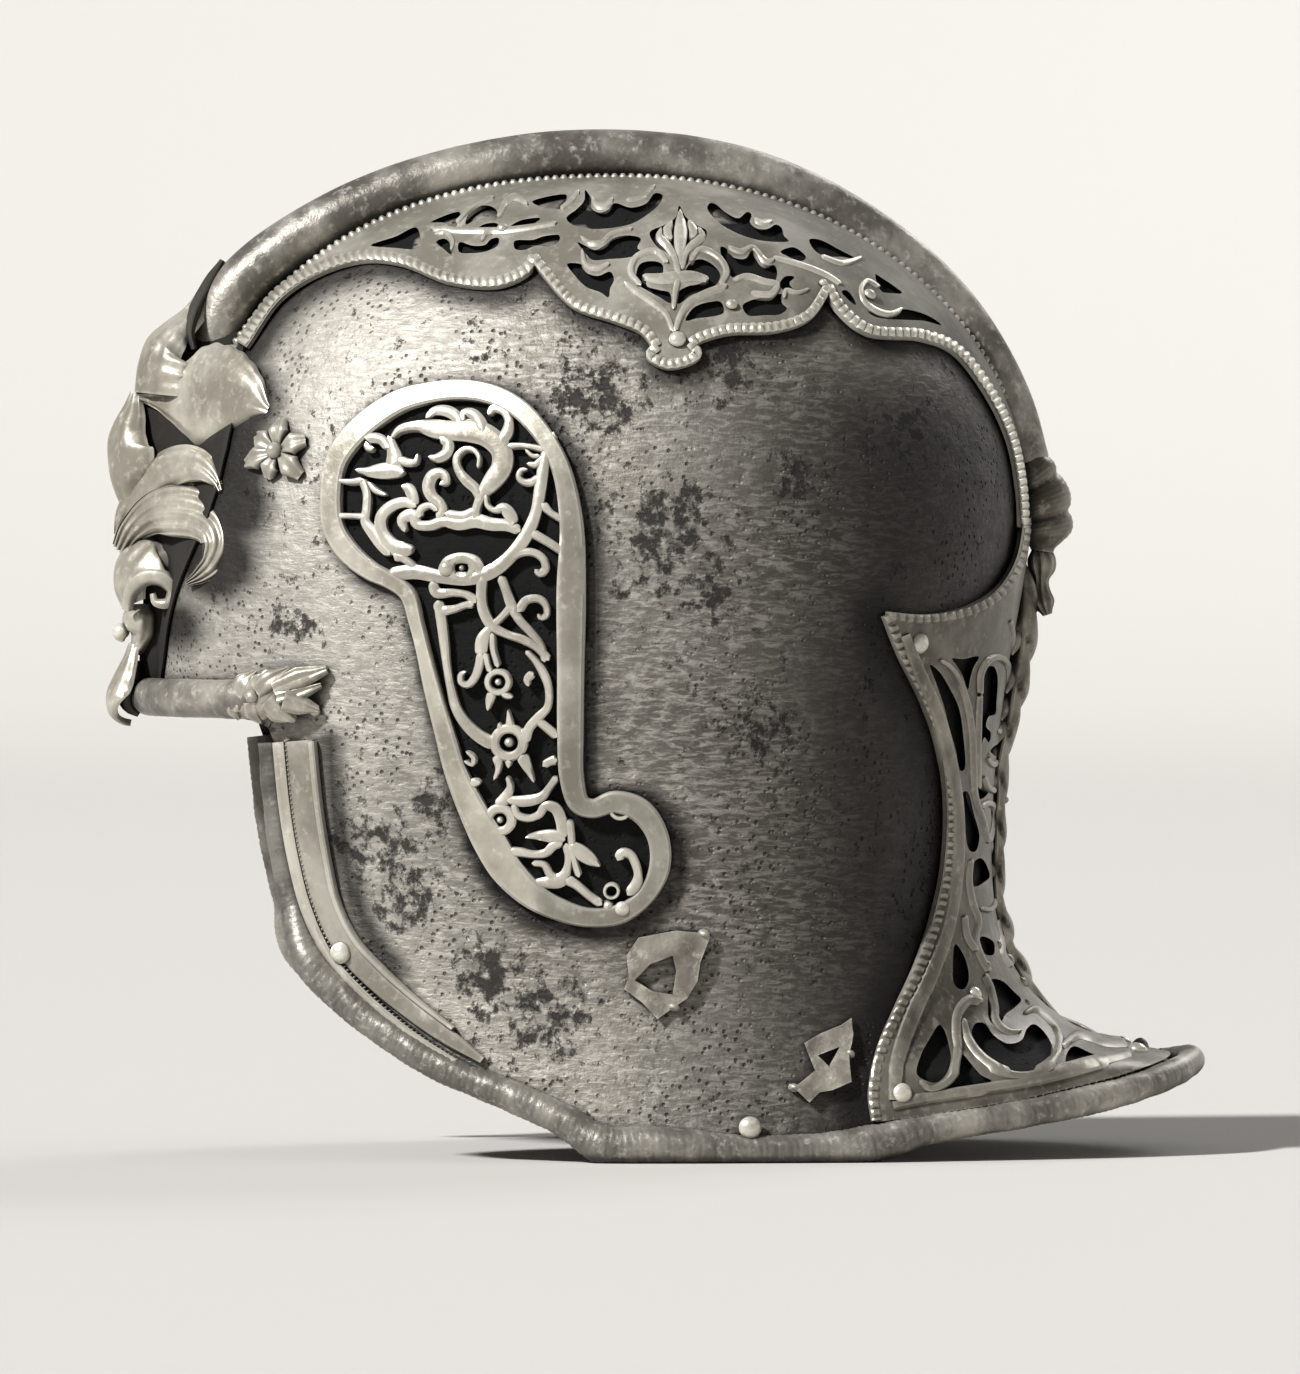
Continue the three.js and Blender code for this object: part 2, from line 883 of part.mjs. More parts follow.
const browButton = grown(
  vectors([
    [0, -147.6, 147.6],
    [0, -150, 147.4],
  ]),
  [3, 2.4],
  [3, 2.4],
  { steps: 1, sides: 8, across: LEFT },
);
const footLeaf = grown(
  vectors([
    [0, -146, 143],
    [0, -148, 137],
    [0, -150.6, 130],
    [0, -150, 124],
    [0, -143, 122.4],
  ]),
  [5, 8, 10, 9.4, 6],
  [2, 2.6, 2.6, 2.4, 1.6],
  { steps: 8, sides: 8, across: LEFT },
);
addMountPart("foot_leaf", ...footLeaf);
addMountPart("brow_button", ...browButton);

// ---- Rosettes, torn mounts and rivets -----------------------------------------------------------------
// Stands a geometry drawn round +Z on the skin at side-view y, z, lifted by offset.
function onSkin(solid, y, z, offset, side = 1) {
  const turn = side * turnAt(y, z);
  const place = offsetPoint(turn, z, offset);
  const turned = new THREE.Quaternion().setFromUnitVectors(UP, skinNormal(turn, z));
  const matrix = new THREE.Matrix4().compose(place, turned, new THREE.Vector3(1, 1, 1));
  return solid.transform(matrix.elements);
}

function rivetHead(radius) {
  const arc = [0, 45, 90].map((deg) => {
    const a = THREE.MathUtils.degToRad(deg);
    return new THREE.Vector2(radius * Math.cos(a), 0.4 + 0.7 * radius * Math.sin(a));
  });
  arc[2].x = 0;
  return solidOf(new THREE.LatheGeometry([new THREE.Vector2(0, 0), new THREE.Vector2(radius, 0), ...arc], 8));
}

const ROSETTE = { y: -101.4, z: 199, radius: 10.4, lobes: 6 };
function rosetteSolid() {
  const outline = Array.from({ length: ROSETTE.lobes * 4 }, (_, i) => {
    const a = (i / (ROSETTE.lobes * 4)) * 2 * Math.PI;
    const r = ROSETTE.radius * (1 - 0.24 * Math.abs(Math.cos((ROSETTE.lobes / 2) * a)) ** 2);
    return new THREE.Vector2(r * Math.cos(a), r * Math.sin(a));
  });
  const petals = new THREE.ExtrudeGeometry(new THREE.Shape(outline), { depth: 2.6, bevelEnabled: false });
  const boss = rivetHead(3.2).translate([0, 0, 2.2]);
  return solidOf(petals).add(boss);
}

const tornMounts = {
  torn_mount_front: [
    [-5.4, 62.8],
    [5, 65],
    [14, 65.6],
    [12, 55],
    [8.4, 46.6],
    [1, 40.4],
    [-8.6, 47.6],
    [-7.6, 57],
  ],
  torn_mount_back: [
    [42, 34],
    [50, 36.6],
    [56, 40],
    [55, 31],
    [55, 22.4],
    [48, 19.6],
    [43, 16.8],
    [38.8, 21],
    [42.6, 26],
  ],
};
const tornHoles = {
  torn_mount_front: [
    [-5.6, 51.6],
    [-1.4, 56.4],
    [4.6, 58],
    [4.6, 50],
    [2, 47],
  ],
  torn_mount_back: [
    [45.4, 30],
    [47.6, 32.4],
    [51.4, 32],
    [48.6, 26.6],
  ],
};

// Rivets on the left side: [name, y, z, head radius, height of their seat above the skin]; each has a twin.
const SEAT = GAP + PLATE + GAP + 0.1;
const RIVETS = [
  ["cheek_rivet", -86.6, 58.4, 3.1, GAP + 2.8 + GAP + 0.1],
  ["nape_upper_rivet", 73.2, 145.6, 3, SEAT],
  ["nape_lower_rivet", 68.6, 18.8, 3, SEAT],
  ["nape_middle_rivet", 90.6, 45, 2.2, SEAT],
  ["crown_rivet", 6, 229.6, 2.4, SEAT],
  ["plaque_upper_rivet", -58.2, 166.4, 2.2, SEAT],
  ["plaque_lower_rivet", -9.4, 71.4, 2.2, SEAT],
  ["tail_rivet", 140, 27, 3, SEAT],
  ["rim_rivet", 26, 9.6, 3.2, 4.2],
];

// ---- Assembly -----------------------------------------------------------------------------------------
const IRON = { color: 0x3b3733, roughness: 0.62, metalness: 0.9 };
const PALE = { color: 0xb9ad90, roughness: 0.38, metalness: 1.0 };
const ROLL = { color: 0x8d8678, roughness: 0.5, metalness: 1.0 };

const helmet = new THREE.Group();
function addPiece(name, solid, finish) {
  const mesh = new THREE.Mesh(geometryOf(solid), new THREE.MeshStandardMaterial(finish));
  mesh.name = name;
  helmet.add(mesh);
}
function addPair(name, solid, finish) {
  addPiece(name + "_left", solid, finish);
  addPiece(name + "_right", mirrored(solid), finish);
}

addPiece("skull", skull, IRON);
addPiece("comb", comb, ROLL);
addPiece("rim_roll", rimRoll, ROLL);
addPiece("brow_roll", browRoll, ROLL);
addPair("crown_plate", crownPlate, PALE);
addPair("side_plaque", sidePlaque, PALE);
addPiece("nape_plate", napePlate, PALE);
addPiece("nape_spine", napeSpine, PALE);
addPiece("comb_knot", combKnot, PALE);
addPiece("knot_tassel", knotTassel, PALE);
addPair("brow_leaf", browLeaf, PALE);
addPair("cheek_band", cheekBand, PALE);
for (const [name, { solid }] of mountParts) addPiece(name, solid, PALE);
addPair("rosette", onSkin(rosetteSolid(), ROSETTE.y, ROSETTE.z, GAP + 0.6), PALE);
for (const [name, outline] of Object.entries(tornMounts)) {
  addPiece(name, layer(GAP, GAP + 1.8).intersect(sidePrism(outline, 30, 150, [tornHoles[name]])), PALE);
}
for (const [name, y, z, radius, seat] of RIVETS) {
  addPair(name, onSkin(rivetHead(radius), y, z, seat).subtract(skin(seat - 0.1)).subtract(rimRoom), PALE);
}

const box = new THREE.Box3().setFromObject(helmet, true);
helmet.position.y = -(box.min.y + box.max.y) / 2;

export default helmet;
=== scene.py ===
"""Looks of an open iron morion helmet with a tubular comb, pierced plates and a leaf mount on the brow.

Shapes are drawn in millimetres with the face towards -Y, the wearer's left at +X and z = 0 under the rim,
and become metres when a piece is made. Side views are (y, z) points that are laid on the skull's skin.
"""
import math

import bpy
import numpy as np
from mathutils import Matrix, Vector, noise


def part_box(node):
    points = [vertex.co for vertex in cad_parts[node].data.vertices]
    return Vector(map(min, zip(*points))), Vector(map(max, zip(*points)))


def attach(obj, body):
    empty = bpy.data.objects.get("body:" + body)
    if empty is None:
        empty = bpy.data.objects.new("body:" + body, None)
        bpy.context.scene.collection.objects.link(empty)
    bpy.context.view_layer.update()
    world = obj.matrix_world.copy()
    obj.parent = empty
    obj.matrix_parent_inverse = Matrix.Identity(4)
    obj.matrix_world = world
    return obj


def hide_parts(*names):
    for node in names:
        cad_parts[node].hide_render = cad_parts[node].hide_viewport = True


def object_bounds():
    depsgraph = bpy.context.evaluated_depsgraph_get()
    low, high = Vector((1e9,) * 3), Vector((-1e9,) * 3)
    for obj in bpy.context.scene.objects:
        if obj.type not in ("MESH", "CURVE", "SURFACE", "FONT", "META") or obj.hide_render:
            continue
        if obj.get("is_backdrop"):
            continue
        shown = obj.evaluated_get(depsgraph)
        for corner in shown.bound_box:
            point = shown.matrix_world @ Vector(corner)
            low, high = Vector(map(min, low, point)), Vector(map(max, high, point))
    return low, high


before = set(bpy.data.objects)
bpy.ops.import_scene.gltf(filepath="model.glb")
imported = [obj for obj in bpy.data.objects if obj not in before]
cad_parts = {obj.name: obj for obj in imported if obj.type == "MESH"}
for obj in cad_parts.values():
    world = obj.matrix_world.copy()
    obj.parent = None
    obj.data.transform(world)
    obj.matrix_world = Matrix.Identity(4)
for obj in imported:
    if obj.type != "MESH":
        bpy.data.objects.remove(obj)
cad_low, cad_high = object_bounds()

# ---- Driving dimensions, as in the CAD ----------------------------------------------------------------
WALL = 1.9
GAP = 0.3
PLATE = 2.4
CROWN_Y, CROWN_Z, WAIST_Y = -6.0, 276.6, 10.0
FRONT_PLAN, BACK_PLAN = 1.95, 2.15
FRONT_DOME_Z, FRONT_DOME_REACH, FRONT_DOME_POWER = 140.0, 131.0, 2.45
BACK_DOME_Z, BACK_DOME_REACH, BACK_DOME_POWER = 180.0, 115.5, 2.07
SIDE_DOME_Z, SIDE_DOME_HALF, SIDE_DOME_POWER = 168.0, 100.0, 2.15
SKULL_FRONT = -137.0
BROW_Z = 124.6
SHIFT_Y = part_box("skull")[0].y * 1000 - SKULL_FRONT

# Sections below the dome: height, front, back and half width.
LOWER = np.array([
    (180, -136, 109.5, 99.6), (165, -137, 107.6, 100), (140, -137, 103.2, 99.2), (117, -137, 100, 96.5),
    (99, -136, 98.5, 93.5), (82, -134, 98.2, 90.5), (68, -132, 99.4, 88.5), (56, -130, 102.6, 87.4),
    (46, -128, 108.4, 87), (39, -126.5, 115.4, 87.4), (33.5, -125, 123.5, 88), (29.5, -124, 134, 88.4),
    (26.6, -123, 146, 88.8), (24.4, -121.5, 159, 89.2), (18, -119, 165, 90), (6, -115, 170, 92),
    (-20, -108, 177, 94),
])
# Rolled edge in side view: y, z and radius, from the brow corner down the cheek and along to the tail.
EDGE = [
    (-106, 117, 3.4), (-104, 99.4, 3.4), (-101.7, 85, 3.4), (-98, 71, 3.4), (-92, 56.6, 3.8),
    (-83, 45, 4.2), (-70, 33.7, 4.4), (-57, 25.6, 4.4), (-40, 18.4, 4.6), (-26, 12, 5), (-15, 5.4, 5.9),
    (0, 5, 5.6), (22, 3.9, 4.5), (45, 4, 4.6), (60, 5.2, 5.7), (74.3, 8.6, 4.8), (103, 13, 4.4),
    (131.4, 18, 4.4), (148.6, 22.6, 4.2), (157.7, 25.6, 4.2),
]
CHEEK_POINTS = 5
FAR_OUTSIDE = 9.0  # the skin's fullness anywhere above the crown
SLOPE_STEP = 0.05
SEARCH_STEPS = 22


# ---- The skull's skin ---------------------------------------------------------------------------------
def between(a, b, c, d, t):
    """A smooth value a share t of the way from b to c, with a before them and d after them."""
    return b + 0.5 * t * (c - a + t * (2 * a - 5 * b + 4 * c - d + t * (3 * (b - c) + d - a)))


def lower_value(column, z):
    """A column of LOWER, read smoothly at height z."""
    heights, values = LOWER[:, 0], LOWER[:, column]
    last = len(heights) - 1
    i = np.clip(np.searchsorted(-heights, -z, side="right") - 1, 0, last - 1)
    share = (z - heights[i]) / (heights[i + 1] - heights[i])
    before, after = values[np.maximum(i - 1, 0)], values[np.minimum(i + 2, last)]
    return between(before, values[i], values[i + 1], after, share)


def dome(size, power, z, base):
    """A rounded dome's size at height z: full at its base and nothing at the crown."""
    rise = np.clip((z - base) / (CROWN_Z - base), 0, 1)
    return size * (1 - rise**power) ** (1 / power)


def section(z):
    """Front and back ends, half width and widest station of the horizontal section at height z."""
    z = np.asarray(z, float)
    front = np.where(z > FRONT_DOME_Z, CROWN_Y - dome(FRONT_DOME_REACH, FRONT_DOME_POWER, z, FRONT_DOME_Z),
                     lower_value(1, z))
    back = np.where(z > BACK_DOME_Z, CROWN_Y + dome(BACK_DOME_REACH, BACK_DOME_POWER, z, BACK_DOME_Z),
                    lower_value(2, z))
    half = np.where(z > SIDE_DOME_Z, dome(SIDE_DOME_HALF, SIDE_DOME_POWER, z, SIDE_DOME_Z),
                    lower_value(3, z))
    rise = np.clip((z - FRONT_DOME_Z) / (CROWN_Z - FRONT_DOME_Z), 0, 1)
    return front, back, half, WAIST_Y + (CROWN_Y - WAIST_Y) * rise * rise


def half_plan(ahead, front, back, middle):
    """Power and reach of a section's curve, ahead of its widest station or behind it."""
    return np.where(ahead, FRONT_PLAN, BACK_PLAN), np.where(ahead, middle - front, back - middle)


def fullness(points):
    """1 on the skin, less inside it and more outside."""
    x, y, z = points[..., 0], points[..., 1], np.minimum(points[..., 2], CROWN_Z - 0.02)
    front, back, half, middle = section(z)
    power, reach = half_plan(y < middle, front, back, middle)
    total = (np.abs(x) / half) ** power + (np.abs(y - middle) / reach) ** power
    return np.where(points[..., 2] > CROWN_Z, FAR_OUTSIDE, total ** (1 / power))


def skin_normal(points):
    """The skin's outward direction, from the slope of its fullness."""
    slope = np.empty(points.shape)
    for axis in range(3):
        step = np.zeros(3)
        step[axis] = SLOPE_STEP
        # The height is read downward only, because there is no skin above the crown.
        above, below = (0, step * 2) if axis == 2 else (step, step)
        slope[..., axis] = fullness(points + above) - fullness(points - below)
    slope[..., 2] = np.where(points[..., 2] > CROWN_Z - 0.4, FAR_OUTSIDE, slope[..., 2])
    return slope / np.linalg.norm(slope, axis=-1, keepdims=True)


def side_x(y, z):
    """How far out the skin is over a side-view point."""
    front, back, half, middle = section(z)
    power, reach = half_plan(y < middle, front, back, middle)
    share = np.clip(np.abs(y - middle) / reach, 0, 1)
    return half * (1 - share**power) ** (1 / power)


def on_side(y, z, offset=0.0):
    """Points of the left skin over side-view points, raised by offset."""
    y, z = np.broadcast_arrays(np.asarray(y, float), np.asarray(z, float))
    points = np.stack([side_x(y, z), y, z], axis=-1)
    return points + skin_normal(points) * np.asarray(offset, float)[..., None]


def by_turn(turn, z):
    """Skin points by turn, 0 at the face, a quarter at the left ear and a half behind."""
    front, back, half, middle = section(z)
    c, s = np.cos(turn * 2 * np.pi), np.sin(turn * 2 * np.pi)
    power, reach = half_plan(c > 0, front, back, middle)
    x = half * np.sign(s) * np.abs(s) ** (2 / power)
    y = middle - reach * np.sign(c) * np.abs(c) ** (2 / power)
    return np.stack([x, y, np.broadcast_to(z, x.shape)], axis=-1)


def dropped(points, direction, reach=60.0):
    """Where lines from the points along a direction meet the skin."""
    low, high = np.zeros(points.shape[:-1]), np.full(points.shape[:-1], reach)
    for _ in range(SEARCH_STEPS):
        middle = (low + high) / 2
        inside = fullness(points + direction * middle[..., None]) < 1
        high = np.where(inside, middle, high)
        low = np.where(inside, low, middle)
    return points + direction * high[..., None]


# ---- Lines and meshes ---------------------------------------------------------------------------------
LEAST_WIDTH = 0.05
# Places across a ribbon, from edge to edge, and the half width over which it takes the finer list.
NARROW, WIDE, WIDE_FROM = [-1, -0.6, 0, 0.6, 1], [-1, -0.8, -0.5, 0, 0.5, 0.8, 1], 2.4


def unit(v):
    return v / np.maximum(np.linalg.norm(v, axis=-1, keepdims=True), 1e-9)


def middle_line(points):
    """Points on the helmet's middle plane, from (y, z) pairs."""
    return [(0, y, z) for y, z in points]


def curve(points, spacing=1.0, closed=False):
    """Evenly spaced points on a smooth line through the given ones, and each one's share of its length."""
    p = np.asarray(points, float)
    p = np.vstack([p[-1:], p, p[:2]]) if closed else np.vstack([2 * p[0] - p[1], p, 2 * p[-1] - p[-2]])
    t = np.concatenate([[0], np.cumsum(np.sqrt(np.linalg.norm(np.diff(p, axis=0), axis=1)) + 1e-6)])
    runs = []
    for i in range(1, len(p) - 2):
        u = np.linspace(t[i], t[i + 1], 17)[:-1, None]  # sixteen short steps from point to point

        def mix(a, b, first, last):
            return ((last - u) * a + (u - first) * b) / (last - first)

        a1, a2 = mix(p[i - 1], p[i], t[i - 1], t[i]), mix(p[i], p[i + 1], t[i], t[i + 1])
        a3 = mix(p[i + 1], p[i + 2], t[i + 1], t[i + 2])
        b1, b2 = mix(a1, a2, t[i - 1], t[i + 1]), mix(a2, a3, t[i], t[i + 2])
        runs.append(mix(b1, b2, t[i], t[i + 1]))
    dense = np.vstack([*runs, p[-2:-1]])
    length = np.concatenate([[0], np.cumsum(np.linalg.norm(np.diff(dense, axis=0), axis=1))])
    count = max(3, round(length[-1] / spacing)) + 1
    at = np.linspace(0, length[-1], count)
    line = np.column_stack([np.interp(at, length, dense[:, k]) for k in range(p.shape[1])])
    return line, at / length[-1]


def along(values, share):
    """Values spread evenly over a line, read smoothly at each share of its length."""
    if len(values) < 4:
        return np.interp(share, np.linspace(0, 1, len(values)), values)
    v = np.concatenate([[values[0]], values, [values[-1]]])
    place = np.clip(share * (len(values) - 1), 0, len(values) - 1.001)
    i = place.astype(int)
    return np.maximum(between(v[i], v[i + 1], v[i + 2], v[i + 3], place - i), LEAST_WIDTH)


class Shape:
    """Closed strands gathered into one mesh."""

    def __init__(self):
        self.points, self.faces, self.marks, self.count = [], [], [], 0
        self.mark = 0.0  # how darkened the next strands are, 0 to 1: tarnish on some, painted shade on others

    def marked(self, points):
        return self.mark(points) if callable(self.mark) else np.full(len(points), float(self.mark))

    def strand(self, rings, closed=False):
        """Joins equal rings of points into a closed tube with flat ends, or into a loop."""
        rings = np.asarray(rings, float)
        n, m = rings.shape[:2]
        flat = rings.reshape(-1, 3)
        j = np.arange(m)
        k = (j + 1) % m
        spans = np.arange(n if closed else n - 1)[:, None]
        a, b = spans * m, (spans + 1) % n * m
        quads = np.stack([a + j, a + k, b + k, b + j], axis=-1).reshape(-1, 4)
        centre = flat.mean(0)
        p, q, r, s = (flat[quads[:, corner]] - centre for corner in range(4))
        volume = np.einsum("ij,ij->", p, np.cross(q, r)) + np.einsum("ij,ij->", p, np.cross(r, s))
        faces = [tuple(f) for f in quads + self.count]
        if not closed:
            faces.append(tuple(self.count + j[::-1]))
            faces.append(tuple(self.count + (n - 1) * m + j))
        if volume < 0:
            faces = [f[::-1] for f in faces]
        self.points.append(flat)
        self.marks.append(self.marked(flat))
        self.faces += faces
        self.count += n * m

    def sweep(self, points, widths, heights, side=(1, 0, 0), sides=24, spacing=1.2, ripple=None):
        """A tube whose half width runs along side and half height across it."""
        line, share = curve(points, spacing)
        tangent = unit(np.gradient(line, axis=0))
        across = np.empty(line.shape)
        now = np.array(side, float)
        for i, t in enumerate(tangent):
            now = unit(now - np.dot(now, t) * t)
            across[i] = now
        lift = np.cross(across, tangent)
        angle = (np.arange(sides) + 0.5) / sides * 2 * np.pi
        u, v = np.cos(angle), np.sin(angle)
        if ripple is not None:
            swell = ripple(share[:, None], angle[None, :], line)
            u, v = u * swell, v * swell
        width, height = along(widths, share)[:, None], along(heights, share)[:, None]
        aside, above = across[:, None] * (u * width)[..., None], lift[:, None] * (v * height)[..., None]
        self.strand(line[:, None] + aside + above)

    def ribbon(self, path, high=GAP + PLATE, low=GAP, spacing=0.8, closed=False, crown=0.0, bevel=0.4,
               rounded=False, ripple=None):
        """A flat band on the skin along side-view points (y, z, half width), with bevelled edges."""
        line, share = curve(path, spacing, closed)
        if closed:
            line, share = line[:-1], share[:-1]
            tangent = np.roll(line[:, :2], -1, axis=0) - np.roll(line[:, :2], 1, axis=0)
        else:
            tangent = np.gradient(line[:, :2], axis=0)
        tangent = unit(tangent)
        normal = np.column_stack([-tangent[:, 1], tangent[:, 0]])
        half = np.maximum(line[:, 2], 0.15)
        if rounded:
            walked = share * len(share) * spacing
            left = np.minimum(walked, walked[-1] - walked) / half
            half = half * np.sqrt(np.clip(1 - (1 - np.clip(left, 0, 1)) ** 2, 0.03, 1))
        u = np.array(WIDE if half.max() > WIDE_FROM else NARROW)
        top = np.broadcast_to(high + crown * (1 - u**2), (len(line), len(u))).copy()
        top[:, [0, -1]] -= bevel
        if ripple is not None:
            top += ripple(share * len(share) * spacing)[:, None]
        every = np.concatenate([u, u[::-1]])
        flat = line[:, None, :2] + normal[:, None] * (every * half[:, None])[..., None]
        offset = np.concatenate([top, np.full((len(line), len(u)), low)], axis=1)
        self.strand(on_side(flat[..., 0], flat[..., 1], offset), closed)

    def strokes(self, paths, high, crown=0.3, spacing=0.6):
        """Rounded strokes of scrollwork, each a hair higher or lower than its neighbours."""
        for i, path in enumerate(paths):
            step = i * 7 % 5 * 0.05
            self.ribbon(path, high - step, spacing=spacing, crown=crown, bevel=0.35, rounded=True)

    def shell(self, path, half, depth, thick=2.2, hint=(0, -1, 0), flutes=0, groove=0.4, sides=28,
              spacing=1.0, scallop=0.0):
        """A leaf: a curved plate whose middle runs along path and whose edges fall back from hint."""
        line, share = curve(path, spacing)
        tangent = unit(np.gradient(line, axis=0))
        across = unit(np.cross(tangent, np.broadcast_to(np.asarray(hint, float), tangent.shape)))
        out = np.cross(across, tangent)
        a = np.linspace(-1, 1, sides)
        width, fall = along(half, share)[:, None], along(depth, share)[:, None]
        edge = 1 + scallop * np.abs(a) ** 3 * np.sin(share[:, None] * len(line) * spacing * 1.15)
        aside = width * np.sin(a * np.pi / 2) * edge
        ahead = -fall * (1 - np.cos(a * np.pi / 2))
        if flutes:
            ahead = ahead - groove * np.abs(np.cos(a * flutes * np.pi / 2)) ** 3
        behind = ahead - thick * (1 - 0.55 * np.abs(a))
        aside = np.concatenate([aside, aside[:, ::-1] * 0.985], axis=1)
        ahead = np.concatenate([ahead, behind[:, ::-1]], axis=1)
        self.strand(line[:, None] + across[:, None] * aside[..., None] + out[:, None] * ahead[..., None])

    def lobe(self, path, half, depth=1.6, **more):
        """A small leaf lobe along side-view points (y, z, height over the skin)."""
        p = np.array(path, float)
        points = on_side(p[:, 0], p[:, 1], p[:, 2])
        self.shell(points, half, depth, hint=skin_normal(points).mean(0), sides=14, spacing=0.6, **more)

    def add_mesh(self, mesh):
        self.points.append(drawn_points(mesh))
        self.marks.append(self.marked(self.points[-1]))
        self.faces += [tuple(i + self.count for i in face.vertices) for face in mesh.polygons]
        self.count += len(mesh.vertices)

    def add(self, other):
        self.points += other.points
        self.marks += other.marks
        self.faces += [tuple(i + self.count for i in f) for f in other.faces]
        self.count += other.count
        return self

    def blob(self, centre, axis, radii, around=14, rows=7, squash=1.0):
        """A rounded lump of the given radius and height whose flat foot is at centre."""
        axis = unit(np.asarray(axis, float))
        first = unit(np.cross(axis, (0.31, 0.22, 0.93)))
        second = np.cross(axis, first)
        angle = np.arange(around) / around * 2 * np.pi
        rings = []
        for rise in np.linspace(0, 1, rows):
            r = radii[0] * max(0.02, math.cos(rise * math.pi / 2))
            h = radii[1] * math.sin(rise * math.pi / 2)
            spoke = np.cos(angle)[:, None] * first + np.sin(angle)[:, None] * second * squash
            rings.append(np.asarray(centre) + axis * h + spoke * r)
        self.strand(rings)

    def stud(self, y, z, radius, height, lift=GAP, around=12, rows=6, squash=1.0):
        """A rounded head that stands lift above the skin over a side-view point."""
        foot = on_side(y, z, lift)
        self.blob(foot, skin_normal(foot), (radius, height), around, rows, squash)

    def mirrored(self):
        """The same strands on the other side."""
        other = Shape()
        other.points = [p * np.array([-1, 1, 1]) for p in self.points]
        other.faces = [f[::-1] for f in self.faces]
        other.marks = list(self.marks)
        other.count = self.count
        return other


def new_object(name, data):
    thing = bpy.data.objects.new(name, data)
    bpy.context.scene.collection.objects.link(thing)
    return thing


def to_frame(points):
    """Drawn millimetres to metres in the frame."""
    return (np.asarray(points) + np.array([0, SHIFT_Y, 0])) / 1000


def drawn_points(mesh):
    """A mesh's points in drawn millimetres."""
    co = np.empty(len(mesh.vertices) * 3, np.float32)
    mesh.vertices.foreach_get("co", co)
    return co.reshape(-1, 3).astype(float) * 1000 - np.array([0, SHIFT_Y, 0])


def new_mesh(name, points, faces):
    """A mesh of drawn points, kept inside the CAD's box."""
    mesh = bpy.data.meshes.new(name)
    mesh.from_pydata([tuple(p) for p in np.clip(to_frame(points), cad_low, cad_high)], [], faces)
    return mesh


def paint(mesh, name, values):
    """Stores one number at each point, for a material to read."""
    mesh.attributes.new(name, "FLOAT", "POINT").data.foreach_set("value", values.astype(np.float32))


def carved(mesh, *cuts):
    """The mesh after each cut, which names a Boolean operation and the cutter it is done with."""
    raw = new_object(mesh.name, mesh)
    for kind, cutter in cuts:
        cut = raw.modifiers.new(kind, "BOOLEAN")
        cut.operation, cut.solver, cut.object = kind, "EXACT", cutter
    graph = bpy.context.evaluated_depsgraph_get()
    result = bpy.data.meshes.new_from_object(raw.evaluated_get(graph))
    for used in (raw, *(cutter for _, cutter in cuts)):
        bpy.data.objects.remove(used)
    return result


def finish_piece(name, mesh, material, nodes, crease=38):
    """Shades a mesh, and gives it its material and its place in the frame."""
    mesh.shade_smooth()
    mesh.set_sharp_from_angle(angle=math.radians(crease))
    piece = new_object(name, mesh)
    mesh.materials.append(material)
    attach(piece, "root")
    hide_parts(*nodes)


def make(name, shape, material, nodes, crease=38):
    mesh = new_mesh(name, np.vstack(shape.points), shape.faces)
    mesh.update()
    paint(mesh, "tarnish_and_shade", np.concatenate(shape.marks))
    finish_piece(name, mesh, material, nodes, crease)


def make_pair(name, shape, material, crease=38):
    make(name + "_left_look", shape, material, [name + "_left"], crease)
    make(name + "_right_look", shape.mirrored(), material, [name + "_right"], crease)


